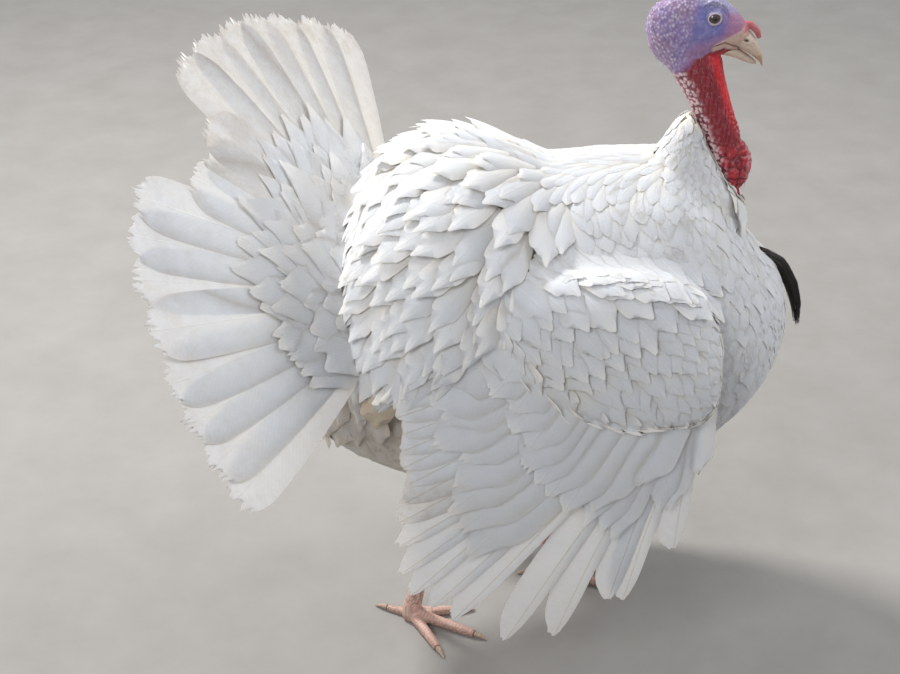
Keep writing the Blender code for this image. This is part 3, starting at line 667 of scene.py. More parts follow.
def make_body_coat():
    roots = body_form.scatter(body_spacing, 11, lambda p: not under_wing(p) and not faces_down(p))
    groups = {name: [] for name, _ in TRACTS}
    for root in roots:
        groups[next(name for name, belongs in TRACTS if belongs(root))].append(root)
    for number, (name, places) in enumerate(groups.items()):
        rng = np.random.default_rng(40 + number)
        count = len(places)
        spacing, rump, neck, ridge = (np.array([measure(p) for p in places])
                                      for measure in (body_spacing, on_rump, on_neck, on_ridge))
        length = spacing * (4.4 + 0.6 * rump - 0.4 * neck) * rng.uniform(0.9, 1.1, count)
        half = spacing * rng.uniform(1.1, 1.35, count) * (1 - 0.2 * rump) * (1 + 0.35 * ridge)
        depth = (0.27 - 0.05 * rump) * spacing * (1 - 0.6 * ridge)
        lift = spacing * (rng.uniform(-0.04, 0.02, count) + rump * rng.uniform(0.0, 0.06, count))
        lift = lift + (rng.random(count) < 0.04) * 0.12 * spacing
        turn = rng.normal(0, 0.1, count)

        def heading(p, index):
            ahead = flow(p)
            across = np.cross(ahead, p - np.array((p[0], 0.0, BODY_CENTRE_Z)))
            return ahead + turn[index] * across * np.linalg.norm(ahead) / (np.linalg.norm(across) + 1e-9)

        stiff, tip = (0.85, 0.34) if name == "coat_rump" else (0.65, 0.56)
        rows = lay(body_form, places, heading, length, 7, depth, lift, stiff)
        make_feathers(name, CONTOUR, "body_feathers", *rows, half, half, [unwrap_body(p) for p in places],
                      70 + number, 6, 9, root=0.45, widest=0.6, tip=tip, bow=0.28,
                      camber=0.075 + 0.22 * ridge, soil=vent_soil(places), ruffle=0.012)


# ---------------------------------------------------------------- wings
WRIST = np.array((0.118, 0.46))                    # bird: X and Z of the wrist
# degrees back from straight down, for each flight feather
PRIMARY_TURNS = (9.4, 16.4, 19.3, 24.0, 30.3, 39.6, 43.9, 47.9, 52.5, 57.5)
SECONDARY_TURNS = np.linspace(62.0, 97.0, 11)


def wing_side(x, z):
    """Distance of a wing's outer face from the bird's middle plane."""
    return 0.202 - 0.55 * (z - 0.37) ** 2 - max(0.0, x - 0.02) ** 2 - 0.3 * (x + 0.05) ** 2


def wing_line(start, end, sign, stations, bend, rise_root, rise_tip):
    """Centre line and normals of a feather on a wing's outer face, from X and Z of its ends."""
    start, end = np.array(start), np.array(end)
    across = np.array((end[1] - start[1], start[0] - end[0]))
    line, normal = [], []
    for share in np.linspace(0, 1, stations):
        x, z = start + (end - start) * share + across * bend * math.sin(math.pi * share)
        slope_x = (wing_side(x + 0.004, z) - wing_side(x - 0.004, z)) / 0.008
        slope_z = (wing_side(x, z + 0.004) - wing_side(x, z - 0.004)) / 0.008
        out = unit(np.array((-slope_x, sign, -slope_z)))
        rise = rise_root + (rise_tip - rise_root) * share
        line.append(np.array((x, sign * wing_side(x, z), z)) + out * rise)
        normal.append(out)
    return line, normal


def wing_reach(side):
    """Reach of a wing's flight feathers from the wrist, at an angle back from straight down."""
    points = np.concatenate([node_arrays("wing_" + row + side)[0] for row in ("primaries_", "secondaries_")])
    offset = points[:, [0, 2]] - WRIST
    turns = np.degrees(np.arctan2(-offset[:, 0], -offset[:, 1]))
    reach = np.linalg.norm(offset, axis=1)
    return lambda turn: reach[np.abs(turns - turn) < 1.5].max()


def from_wrist(turn, distance):
    turn = math.radians(turn)
    return WRIST + distance * np.array((-math.sin(turn), -math.cos(turn)))


def along_wing(count, first_root, last_root):
    """Number, share and root of each feather of a row along a wing."""
    for i in range(count):
        share = i / (count - 1)
        yield i, share, np.array(first_root) * (1 - share) + np.array(last_root) * share


def make_flight_feathers(side):
    sign, reach = SIGNS[side], wing_reach(side)
    rng = np.random.default_rng(51)
    for name, turns, roots, narrow, wide, first_rise, place, soil in (
            ("wing_primary_feathers_", PRIMARY_TURNS, ((0.108, 0.44), (0.03, 0.425)), 0.0115, 0.029,
             -0.004, 0.5, 0.16),
            ("wing_secondary_feathers_", SECONDARY_TURNS, ((0.02, 0.425), (-0.095, 0.505)), 0.02, 0.038,
             -0.0015, 0.7, np.where(np.arange(len(SECONDARY_TURNS)) < 2, 0.5, 0.25))):
        rows, count = [], len(turns)
        for i, share, root in along_wing(count, *roots):
            tip = from_wrist(turns[i], reach(turns[i]) - 0.0015)
            rise = first_rise + 0.0026 * share
            rows.append(wing_line(root, tip, sign, 12, rng.normal(0.035, 0.006), rise, rise))
        make_feathers(name + side, QUILL, "flight_feathers", *zip(*rows), *(wide, narrow)[::sign],
                      [(0.05 + 0.9 * i / count, place) for i in range(count)], 5 + count, 12, 40, root=0.5,
                      widest=0.7, tip=0.5, bow=0.045, camber=0.06, soil=soil, sweep=0.5, tilt=-0.07 * sign,
                      thick=0.0006, fray=0.005, slit=0.01)


def make_greater_coverts(side):
    """Rows of broad feathers over the roots of the flight feathers."""
    sign, reach = SIGNS[side], wing_reach(side)
    rng = np.random.default_rng(61)
    for name, count, turns, roots, shares, half, rise in (
            ("primary", 9, (10.0, 56.0), ((0.108, 0.445), (0.05, 0.43)), (0.52, 0.5), 0.02, 0.0012),
            ("greater", 10, (50.0, 96.0), ((0.055, 0.44), (-0.09, 0.505)), (0.76, 0.96), 0.038, 0.0026),
            ("median", 11, (34.0, 93.0), ((0.09, 0.45), (-0.085, 0.515)), (0.44, 0.72), 0.032, 0.0048)):
        rows = []
        for i, share, root in along_wing(count, *roots):
            turn = turns[0] + (turns[1] - turns[0]) * share + rng.normal(0, 0.8)
            part = (shares[0] + (shares[1] - shares[0]) * share) * rng.uniform(0.94, 1.04)
            rows.append(wing_line(root, from_wrist(turn, part * reach(turn)), sign, 8, 0.04,
                                  rise * 0.7 - 0.004, rise * 0.8 + 0.0016 * share))
        make_feathers("wing_" + name + "_coverts_" + side, LARGE, "body_feathers", *zip(*rows), half, half,
                      [(0.05 + 0.9 * i / count, 0.1 + 30 * rise) for i in range(count)], 65 + count, 10, 20,
                      root=0.55, widest=0.74, tip=0.45, bow=0.12, camber=0.05, soil=0.1, sweep=0.4,
                      tilt=-0.05 * sign, thick=0.0004, fray=0.012, split=0.08, ruffle=0.02)


def arm_spacing(p):
    """Distance between the roots of the small feathers of the arm: smallest at the wrist."""
    return 0.0205 - 0.009 * ramp(p[0], -0.03, 0.09)


ARM_FLOW = (0.8, 0.0, -1.0)                        # the lie of the feathers of the arm and shoulder


def make_arm_coverts(side):
    form, sign = arm_forms[side], SIGNS[side]
    low, high = arm_boxes[side]
    roots = form.scatter(arm_spacing, 21, lambda p: p[0] > high[0] - 0.05 or
                         sign * form.nearest(Vector(p))[1].y > (0.25 if p[2] > low[2] + 0.09 else -0.5))
    rng = np.random.default_rng(23)
    count = len(roots)
    spacing = np.array([arm_spacing(p) for p in roots])
    length = spacing * rng.uniform(3.0, 3.5, count)
    half = spacing * rng.uniform(0.85, 1.0, count)
    lift = spacing * rng.uniform(-0.01, 0.04, count)
    turn = rng.normal(0, 0.1, count)
    rows = lay(form, roots, lambda p, i: np.array(ARM_FLOW) + np.array((turn[i], 0, 0)), length, 7,
               0.26 * spacing, lift, 0.4)
    place = [(0.1 + 0.8 * (high[0] - p[0]) / (high[0] - low[0]),
              0.05 + 0.85 * (p[2] - low[2]) / (high[2] - low[2])) for p in roots]
    make_feathers("wing_lesser_coverts_" + side, CONTOUR, "body_feathers", *rows, half, half, place, 29, 8, 9,
                  root=0.4, widest=0.56, tip=0.4, bow=0.42, camber=0.11, soil=0.06, ruffle=0.016)


def make_scapulars(form, side):
    """Large smooth feathers that fall from the shoulders over the wings' upper rims."""
    sign = SIGNS[side]
    low, high = arm_boxes[side]

    def accept(p):
        return p[1] * sign > 0.11 and low[0] - 0.03 < p[0] < high[0] - 0.035 \
            and high[2] - 0.012 - 0.5 * max(0.0, 0.02 - p[0]) < p[2] < high[2] + 0.042 - 0.3 * abs(p[0])

    roots = form.scatter(lambda p: 0.015, 81, accept)
    rng = np.random.default_rng(83)
    count = len(roots)
    length = rng.uniform(0.062, 0.08, count)
    half = rng.uniform(0.0165, 0.02, count)
    turn = rng.normal(0, 0.08, count)
    rows = lay(form, roots, lambda p, i: np.array(ARM_FLOW) + np.array((turn[i], 0.3 * sign, 0)), length, 9,
               np.full(count, 0.002), np.full(count, 0.0034), 0.65)
    place = [(0.1 + 0.8 * (high[0] - p[0]) / (high[0] - low[0]), 0.93) for p in roots]
    make_feathers("wing_scapulars_" + side, LARGE, "body_feathers", *rows, half, half, place, 85, 8, 12,
                  root=0.45, widest=0.62, tip=0.45, bow=0.26, camber=0.09, soil=0.04, split=0.05, ruffle=0.01)


# ---------------------------------------------------------------- tail
FAN_BASE = np.array((-0.229, 0.0, 0.47))           # bird: where the tail feathers spread from
FAN_AXIS = unit(np.array((-0.661, -0.234, 0.713)))
FAN_ACROSS = np.array((0.122, 0.904, 0.41))
FAN_ACROSS = unit(FAN_ACROSS - FAN_AXIS * np.dot(FAN_ACROSS, FAN_AXIS))
FAN_FRONT = np.cross(FAN_AXIS, FAN_ACROSS) * (1 if np.cross(FAN_AXIS, FAN_ACROSS)[0] > 0 else -1)
FAN_CONE = math.radians(-5.9)
FAN_SPREAD = 67.0                                  # degrees from the fan's middle to its outer feathers
FAN_FEATHERS = 18


def fan_line(turn, start, end, stations, rise_root, rise_tip, curl=0.0):
    """Centre line and normals of a feather that spreads from the fan's base."""
    angle = math.radians(turn)
    radial = FAN_AXIS * math.cos(angle) + FAN_ACROSS * math.sin(angle)
    ahead = radial * math.cos(FAN_CONE) + FAN_FRONT * math.sin(FAN_CONE)
    normal = FAN_FRONT * math.cos(FAN_CONE) - radial * math.sin(FAN_CONE)
    share = np.linspace(0, 1, stations)[:, None]
    rise = rise_root + (rise_tip - rise_root) * share + curl * share ** 3
    line = FAN_BASE + ahead * (start + (end - start) * share) + normal * rise
    return line, np.repeat(normal[None], stations, axis=0)


def fan_reach():
    """Reach of the tail's solid from the fan's base, at an angle."""
    offset = node_arrays("tail_fan")[0] - FAN_BASE
    turns = np.degrees(np.arctan2(offset @ FAN_ACROSS, offset @ FAN_AXIS))
    reach = np.linalg.norm(offset, axis=1)
    return lambda turn: reach[np.abs(turns - turn) < 2.2].max()


def make_rectrices():
    reach = fan_reach()
    rng = np.random.default_rng(3)
    rows = []
    for turn in np.linspace(-FAN_SPREAD, FAN_SPREAD, FAN_FEATHERS):
        rise = 0.0015 - 0.003 * abs(turn) / FAN_SPREAD
        rows.append(fan_line(turn + rng.normal(0, 0.7), 0.06, reach(turn) - 0.0015, 12, rise, rise,
                             rng.normal(0, 0.0012)))
    middle = FAN_FEATHERS // 2
    for name, first, tilt, soil in (("tail_feathers_right", 0, 0.02, 0.32),
                                    ("tail_feathers_left", middle, -0.02, 0.6)):
        half = rng.normal(0.0375, 0.001, middle)
        place = [(0.05 + 0.9 * i / FAN_FEATHERS, 0.05) for i in range(first, first + middle)]
        make_feathers(name, LARGE, "flight_feathers", *zip(*rows[first:first + middle]), half, half, place, 8,
                      26, 44, root=0.32, widest=0.86, tip=0.74, bow=0.04, camber=0.01, soil=soil, sweep=0.6,
                      tilt=tilt, thick=0.0008, fray=0.007, split=0.34, slit=0.02)


def make_tail_coverts():
    """Rows of feathers over the roots of the fan, before it and behind it."""
    rng = np.random.default_rng(31)
    front = ((0.255, 0.004, 20), (0.225, 0.007, 18), (0.195, 0.011, 16), (0.16, 0.016, 14),
             (0.125, 0.021, 12))
    back = ((0.19, -0.01, 18), (0.16, -0.016, 16), (0.13, -0.022, 14), (0.105, -0.028, 12))
    for name, table, facing in (("tail_coverts_front", front, 1), ("tail_coverts_back", back, -1)):
        rows, half, place = [], [], []
        for number, (end, rise, count) in enumerate(table):
            for i in range(count):
                turn = -60 + 120 * (i + 0.5 * (number % 2)) / (count - 0.5) + rng.normal(0, 1.6)
                reach = end * (1 - 0.06 * (turn / 62) ** 2) * rng.uniform(0.9, 1.05)
                line, normal = fan_line(turn, 0.03, reach, 8, rise, rise * 0.4 + 0.0024 * facing,
                                        rng.normal(0, 0.0008))
                rows.append((line, normal * facing))
                half.append(rng.uniform(0.029, 0.036))
                place.append((0.05 + 0.9 * (turn + 65) / 130, 0.15 + 0.15 * number))
        make_feathers(name, CONTOUR, "body_feathers", *zip(*rows), half, half, place, 33, 10, 16, root=0.4,
                      widest=0.7, tip=0.4, bow=0.22, camber=0.04, soil=0.1, fray=0.01, split=0.12,
                      slit=0.02, ruffle=0.015)


# ---------------------------------------------------------------- the head and the skin
NECK_Z = (0.585, 0.612, 0.64, 0.667, 0.69, 0.712, 0.735, 0.755, 0.778)    # bird: the middle of the
NECK_X = (0.139, 0.141, 0.138, 0.131, 0.123, 0.115, 0.105, 0.096, 0.091)    # naked neck
EYE_AXIS = unit(np.array((0.1, 1.0, 0.06)))        # the way the left eye looks
OPENING = (0.0069, 0.0058)                         # half length and half height of the open lids
PERIWINKLE = (0.15, 0.15, 0.4)
DEEP_BLUE = (0.05, 0.06, 0.2)
VIOLET = (0.3, 0.19, 0.33)
PALE_BUMP = (0.64, 0.6, 0.7)
LORES = (0.42, 0.18, 0.29)
FOREHEAD = (0.64, 0.6, 0.68)
THROAT = (0.68, 0.012, 0.018)
CRIMSON = (0.3, 0.012, 0.024)
CARUNCLE = (0.4, 0.01, 0.02)
BEAD = (0.7, 0.5, 0.51)
FLESH = (0.83, 0.775, 0.7)
BODY_COAT, ARM_COAT = 0.013, 0.005                 # depth of the coat over the skin
NECK_THINNER = 0.009                               # by how much it is thinner on the neck
BARE_ABOVE = 0.56                                  # bird: the bare skin of the neck ends above this
LEG_TOP, LEG_REACH = 0.19, 0.16                    # bird: a leg's scales end below this, and this near it
GAPE_X = (0.1, 0.112, 0.128, 0.143, 0.155, 0.163)  # bird: the line of the closed mouth
GAPE_Z = (0.77, 0.776, 0.78, 0.772, 0.763, 0.758)
RIM_X = (0.112, 0.122, 0.135, 0.146, 0.152)        # bird: the top of its horny rim
RIM_Z = (0.777, 0.782, 0.787, 0.791, 0.797)
BEADS_Z = (0.6, 0.622, 0.645, 0.667, 0.689, 0.708, 0.735, 0.76)    # bird: the beads of the neck's back
BEADS_X = (0.128, 0.125, 0.121, 0.109, 0.101, 0.094, 0.082, 0.066)    # lie behind this line


def eye_place(points):
    """Height over the nearer eye's centre along its axis, and place across it: forward and up."""
    sign = np.where(points[:, 1] > 0, 1.0, -1.0)
    offset = points * np.stack([np.ones(len(points)), sign, np.ones(len(points))], axis=1) \
        - EYE * (1, -1, 1)
    forward = unit(np.array((1.0, -EYE_AXIS[0], 0.0)))
    upward = np.cross(forward, EYE_AXIS)
    return offset @ EYE_AXIS, offset @ forward, offset @ upward, sign


def head_skin(points):
    """Relief and colour of the skin of the head, naked neck, wattle and snood."""
    x, y, z = points.T
    middle = np.interp(z, NECK_Z, NECK_X)
    turn = np.arctan2(np.abs(y), x - middle)       # 0 at the throat, pi at the nape
    height, forward, upward, _ = eye_place(points)
    from_eye = np.hypot(forward, upward) + 10 * np.clip(-height - 0.004, 0, None)
    rough = rough_noise(points, 0.006, 3)
    fine = rough_noise(points, 0.0022, 5)
    broad = rough_noise(points, 0.02, 9)

    neck = ramp(-z + 0.25 * (x - 0.1), -0.768, -0.748)
    wattle = ramp(-z, -0.668, -0.648) * ramp(x, 0.112, 0.128)
    edge = np.interp(z, BEADS_Z, BEADS_X)
    behind = ramp(edge + 0.014 - x + 0.008 * (rough - 0.5), -0.003, 0.006) * neck
    nape = ramp(0.092 - x + 0.25 * (z - 0.79) + 0.01 * (broad - 0.5), -0.004, 0.012) * (1 - neck)
    throat = ramp(0.75 - turn, -0.25, 0.2) * ramp(-z, -0.772, -0.76) * ramp(z, 0.66, 0.7)
    forehead = ramp(z + 0.35 * (x - 0.12), 0.812, 0.823) * ramp(x, 0.07, 0.11)
    lores = ramp(x, 0.12, 0.136) * (1 - forehead) * (1 - neck)

    # long folds run down the neck, slanting towards the throat
    folds = (turn * 0.021 + 0.42 * (z - 0.7) + 0.006 * (broad - 0.5) + 0.0016 * rough) / 0.005 * math.pi
    fold_shape = 1 - (1 - np.abs(np.sin(folds))) ** 2.5
    relief = 0.0013 * (fold_shape - 0.7) * neck * (1 - wattle) * (1 - 0.8 * behind) * (0.5 + rough)
    # pale bumps in slanting rows on the nape, and finer ones on the crown and cheek
    slanted = np.stack([x + 0.45 * z, y, (z - 0.45 * x) * 0.62], axis=1)
    near, _, chance = cellular(slanted, 0.0034, 21)
    bumps = ramp(-near, -0.62, -0.15) * (0.5 + 0.5 * chance)
    relief += 0.0011 * bumps * nape
    near, _, chance = cellular(points, 0.0026, 31)
    dots = ramp(-near, -0.6, -0.1) * (0.3 + 0.7 * chance)
    relief += 0.0006 * dots * (forehead + 0.25 * (1 - neck) * (1 - nape)) * (from_eye > 0.012)
    # wrinkles round the eye
    rings = np.abs(np.sin((from_eye + 0.0012 * rough) / 0.0024 * math.pi))
    around = ramp(-from_eye, -0.024, -0.013) * (1 - neck) * ramp(from_eye, 0.0105, 0.012)
    relief += 0.0005 * (rings - 0.5) * around * (0.4 + 0.6 * ramp(upward, -0.004, 0.006))
    # beads along the neck's back edge, and lobes on the wattle and the throat's lower edge
    near, _, chance = cellular(points, 0.0052, 41)
    beads = np.sqrt(np.clip(1 - (near / 0.58) ** 2, 0, 1)) * (0.45 + 0.55 * chance)
    relief += 0.0019 * (beads - 0.3) * behind
    lobes = cushions(points * (1, 1, 0.85), 0.0125, 51, 0.42) ** 0.55
    relief += 0.0034 * (lobes - 0.62) * wattle
    front = ramp(0.9 - turn, 0, 0.5) * neck * (1 - wattle) * ramp(-z, -0.715, -0.69)
    near, second, _ = cellular(points, 0.007, 61)
    knobs = np.clip((second - near) / 0.45, 0, 1) ** 0.6
    relief += 0.002 * (knobs - 0.5) * front
    relief += 0.00045 * (fine - 0.5) * (1 - 0.6 * wattle)

    colour = blend(ramp(rough, 0.35, 0.7), PERIWINKLE, (0.2, 0.19, 0.43))
    # painted shade and highlight: round the eye the skin is darker in the wrinkles' grooves and lighter on
    # their crests
    colour = colour * (0.8 + 0.4 * rings * around + 0.2 * (1 - around))[:, None]
    # the dark blue above the eye is the skin's own colour, laid on more strongly in the grooves as painted
    # shade
    above_eye = ramp(upward, 0.007, 0.013) * ramp(-from_eye, -0.026, -0.014)
    colour = blend(above_eye * (0.35 + 0.5 * (1 - rings)), colour, DEEP_BLUE)
    below = ramp(-z + 0.3 * (x - 0.1), -0.79, -0.776) * (1 - neck)
    colour = blend(0.55 * below, colour, LORES)
    colour = blend(lores * (0.55 + 0.4 * rough), colour, LORES)
    colour = blend(nape, colour, blend(ramp(broad, 0.35, 0.65), VIOLET, (0.25, 0.18, 0.4)))
    colour = blend(nape * bumps * 0.85, colour, PALE_BUMP)
    # painted shade: the nape's skin darkens midway between the pale bumps
    colour = blend(nape * (1 - bumps) * ramp(near, 0.3, 0.8) * 0.35, colour, (0.12, 0.06, 0.15))
    colour = blend(forehead * (0.25 + 0.75 * dots), colour, FOREHEAD)
    # painted shade: the red is darker in the grooves of the neck's folds, and the throat's bright red is laid
    # on less there
    red = blend(fold_shape * 0.7, (0.13, 0.008, 0.014), CRIMSON)
    red = blend(ramp(rough, 0.5, 0.8) * 0.4, red, (0.42, 0.03, 0.06))
    red = blend(throat * (0.75 + 0.25 * fold_shape), red, THROAT)
    # painted shade and highlight: the knobs of the throat's front and the wattle's lobes are bright red on
    # top and dark red in the grooves between them
    red = blend(front * 0.7, red, blend(knobs, (0.22, 0.006, 0.012), (0.56, 0.016, 0.028)))
    red = blend(wattle, red, blend(lobes, (0.12, 0.004, 0.008), CARUNCLE))
    red = blend(behind * ramp(beads, 0.15, 0.45), red, BEAD)
    # painted shade: dark between the pale beads
    red = blend(behind * (1 - ramp(beads, 0.15, 0.45)) * 0.7, red, (0.18, 0.05, 0.07))
    gape = np.interp(x, GAPE_X, GAPE_Z)
    under = ramp(gape - z, 0.0045, 0.0085) * ramp(x, 0.088, 0.1)
    redness = np.clip(neck * ramp(gape - z + 0.02 * (x < 0.11), 0.004, 0.012) + under, 0, 1)
    redness = redness * (1 - ramp(0.094 - x - 0.4 * (0.765 - z), 0.0, 0.014) * ramp(z, 0.735, 0.755))
    colour = blend(redness, colour, red)
    # the horny rim of the mouth, which runs back from the bill to under the eye
    rim_top = np.interp(x, RIM_X, RIM_Z)
    rim = ramp(rim_top - z, -0.0012, 0.0012) * ramp(z - gape, -0.0075, -0.005) \
        * ramp(x, 0.1125, 0.116)
    colour = blend(rim, colour, blend(rough, (0.52, 0.34, 0.28), (0.62, 0.47, 0.38)))
    line = ramp(-np.abs(z - gape), -0.0014, -0.0004) * ramp(x, 0.113, 0.117)
    relief -= 0.0012 * line
    relief += 0.0005 * rim
    colour = blend(line * 0.8, colour, (0.11, 0.04, 0.03))
    snood = ramp(x, 0.147, 0.152) * ramp(z, 0.786, 0.79) + ramp(x, 0.16, 0.163)
    colour = blend(np.clip(snood, 0, 1) * 0.9, colour, blend(rough, (0.42, 0.07, 0.09), (0.56, 0.16, 0.19)))
    colour = colour * (0.82 + 0.36 * fine)[:, None]
    wet = np.clip(0.35 * neck + 0.65 * wattle + 0.3 * front + 0.3 * throat, 0, 1)
    return relief, np.clip(colour, 0, 1), wet


def shape_lids(points, normals):
    """Raise the skin round each eye into lids that follow the eyeball, and sink it behind them."""
    height, forward, upward, sign = eye_place(points)
    oval = np.hypot(forward / OPENING[0], upward / OPENING[1])
    reach = np.hypot(forward, upward)
    outer = EYE_RADIUS + 0.0012
    lid = np.sqrt(np.clip(outer ** 2 - reach ** 2, 0, None))
    here = (height > -0.006) & (reach < 0.018)
    soft = ramp(-reach, -0.0165, -0.008)
    bulge = height + 0.5 * soft * np.clip(0.003 - height, 0, None)
    sunken = np.sqrt(np.clip(EYE_RADIUS ** 2 - reach ** 2, 0, None)) - 0.0028
    wanted = np.where(oval < 1.0, sunken, np.maximum(bulge, lid))
    change = np.where(here, wanted - height, 0.0)
    axis = EYE_AXIS * np.stack([np.ones(len(points)), sign, np.ones(len(points))], axis=1)
    return points + axis * change[:, None]


def skin_material():
    s = Shader("skin", Roughness=0.45, Subsurface_Weight=0.2, Subsurface_Scale=1.0,
               Subsurface_Radius=(0.003, 0.0012, 0.0008), Specular_IOR_Level=0.5)
    colour = s.mix(s.times(s.mottle(900.0, 0.35, 0.7, 3.0), 0.16), s.painted("paint"), (0.05, 0.02, 0.04))
    colour = s.mix(s.times(s.mottle(260.0, 0.5, 0.75), 0.14), colour, (0.85, 0.75, 0.78))
    s.give("Base Color", colour)
    rough = s.scaled(s.parts("finish")[0], -0.26, 0.56)
    s.give("Roughness", s.scaled(s.mottle(500.0, 0.3, 0.7), 0.12, rough))
    pores = s.add("TexVoronoi", {"Vector": s.place, "Scale": 1100.0}).outputs["Distance"]
    grain = s.add("TexNoise", {"Vector": s.place, "Scale": 700.0, "Detail": 4.0}).outputs[0]
    s.bump(s.scaled(pores, 0.5, grain), 0.5, 0.0005)
    return s.material


def toe_runs(side):
    """The middle of a foot, and the run from it to the claw of each toe, in X and Y."""
    shank = node_arrays("shank_" + side)[0]
    hub = shank[shank[:, 2] < shank[:, 2].min() + 0.004].mean(axis=0)[:2]
    runs = []
    for toe in ("inner", "middle", "outer", "hind"):
        claw = node_arrays("claw_" + toe + "_" + side)[0][:, :2]
        runs.append(claw[np.argmin(np.linalg.norm(claw - hub, axis=1))] - hub)
    return hub, runs


def leg_skin(points, side):
    """Relief and colour of a scaled leg: plates across the front of the shank and the toes' tops."""
    hub, runs = toe_runs(side)
    x, y, z = points.T
    offset = points[:, :2] - hub
    best, along, aside = np.full(len(points), 9.0), np.zeros(len(points)), np.zeros(len(points))
    for run in runs:
        length = np.linalg.norm(run)
        ahead = run / length
        station = offset @ ahead
        away = np.abs(offset @ np.array((-ahead[1], ahead[0]))) + 3 * np.clip(-station, 0, None)
        closer = away < best
        along, aside = np.where(closer, station, along), np.where(closer, away, aside)
        best = np.where(closer, away, best)
    on_shank = ramp(z, 0.022, 0.034)
    rough = rough_noise(points, 0.008, 71)
    plates = np.abs(np.sin((along + 0.0005 * rough) / 0.0046 * math.pi)) ** 0.35
    top = ramp(z, 0.008, 0.013) * (1 - on_shank)
    scales = cushions(points * (1, 1, 0.8), 0.0052, 81, 0.22)
    grains = cushions(points, 0.003, 91, 0.35)
    relief = 0.0006 * (plates - 1) * top + 0.0006 * (scales - 1) * on_shank
    relief += 0.0004 * (grains - 1) * (1 - top) * (1 - on_shank)
    shape = plates * top + scales * on_shank + grains * (1 - top) * (1 - on_shank)
    colour = blend(rough, (0.64, 0.38, 0.31), (0.7, 0.5, 0.42))
    # painted shade: darker in the grooves between the plates, scales and grains
    colour = blend(1 - shape, colour, (0.3, 0.17, 0.13))
    colour = blend(0.6 * ramp(-z, -0.016, -0.004) * rough, colour, (0.22, 0.15, 0.1))
    return relief, colour, np.full(len(points), 0.25)


def joined_mesh(meshes):
    """One mesh of several closed ones, united into a single surface."""
    base, *others = (add_object("flesh", mesh) for mesh in meshes)
    for other in others:
        union = base.modifiers.new("union", "BOOLEAN")
        union.operation = "UNION"
        union.solver = "EXACT"
        union.object = other
    mesh = evaluated(base)
    for other in others:
        bpy.data.objects.remove(other, do_unlink=True)
    return mesh


def shrunken(form, depth):
    """A form's surface, drawn in by the depth of the coat."""
    return plain_mesh(form.points - form.normals * depth, form.faces)


def surface_tree(points, mesh):
    return BVHTree.FromPolygons([Vector(p) for p in points], [tuple(p.vertices) for p in mesh.polygons])


def make_skin():
    """One skin for the whole bird: bare on the head, neck and legs, and under the coat elsewhere.

    The head, body and arms are one closed surface. The legs are closed too, and start inside it.
    """
    thin = np.array([on_neck(p) for p in body_form.points])[:, None]
    body = shrunken(body_form, BODY_COAT - NECK_THINNER * thin)
    head = united_mesh(["head", "naked_neck", "wattle", "snood"], 0.0011, 0.0004, 3)
    points, _, normals = mesh_arrays(head)
    set_points(head, shape_lids(points, normals))
    legs = [united_mesh(["shank_" + side, "foot_" + side], 0.0014, 0.0005, 2) for side in SIGNS]
    mesh = joined_mesh([body, head, *(shrunken(arm_forms[side], ARM_COAT) for side in SIGNS)])
    shape = bmesh.new()
    for part in (mesh, *legs):
        shape.from_mesh(part)
    shape.to_mesh(mesh)
    shape.free()
    points, _, normals = mesh_arrays(mesh)
    relief, wet = np.zeros(len(points)), np.zeros(len(points))
    paint = np.array(FLESH) * (0.9 + 0.2 * rough_noise(points, 0.015, 101))[:, None]
    paint = blend(STAIN_SHARE * vent_soil(points) ** STAIN_POWER, paint, STAIN)
    head_tree = surface_tree([v.co for v in head.vertices], head)
    bare = np.array([p[2] > BARE_ABOVE and head_tree.find_nearest(Vector(p), 0.0008)[0] is not None
                     for p in points])
    relief[bare], paint[bare], wet[bare] = head_skin(points[bare])
    for side, sign in SIGNS.items():
        low, high = node_box("shank_" + side)
        middle = (low + high)[:2] / 2
        leg = (points[:, 2] < min(high[2], LEG_TOP)) & (points[:, 1] * sign > 0) \
            & (np.hypot(*(points[:, :2] - middle).T) < LEG_REACH)
        relief[leg], paint[leg], wet[leg] = leg_skin(points[leg], side)
    points = points + normals * relief[:, None]
    points[:, 2] = np.maximum(points[:, 2], FLOOR_Z)
    set_points(mesh, points + SHIFT)
    skin = add_piece("skin", mesh, skin_material(), "head_skin",
                     "trunk", "rump", "feathered_neck", "thigh_left", "thigh_right", "head", "naked_neck",
                     "wattle", "snood", "shank_left", "shank_right", "foot_left", "foot_right",
                     "wing_arm_left", "wing_arm_right")
    point_colours(skin, "paint", paint)
    point_colours(skin, "finish", wet[:, None])
    return surface_tree(points, mesh)


def tube_mesh(centres, radii, sides):
    """Points and faces of closed tubes: rows of centres along each, and their radii."""
    count, stations, _ = centres.shape
    ahead = unit(np.gradient(centres, axis=1))
    first = unit(np.cross(ahead, np.array((0.31, 0.87, 0.38))))
    second = np.cross(ahead, first)
    turns = np.linspace(0, 2 * math.pi, sides, endpoint=False)
    rings = centres[:, :, None] + radii[:, :, None, None] * (
        first[:, :, None] * np.cos(turns)[:, None] + second[:, :, None] * np.sin(turns)[:, None])
    points = np.concatenate([rings.reshape(count, -1, 3), centres[:, :1], centres[:, -1:]], axis=1)
    around = np.arange(sides)
    after = (around + 1) % sides
    rows = (np.arange(stations - 1) * sides)[:, None]
    a, b = (rows + around).ravel(), (rows + after).ravel()
    start, end, last = stations * sides, stations * sides + 1, (stations - 1) * sides
    triangles = np.concatenate([np.stack(corners, axis=1) for corners in (
        (a, b, b + sides), (a, b + sides, a + sides), (np.full(sides, start), after, around),
        (np.full(sides, end), last + around, last + after))])
    size = points.shape[1]
    faces = (triangles[None] + (np.arange(count) * size)[:, None, None]).reshape(-1, 3)
    return points.reshape(-1, 3), faces


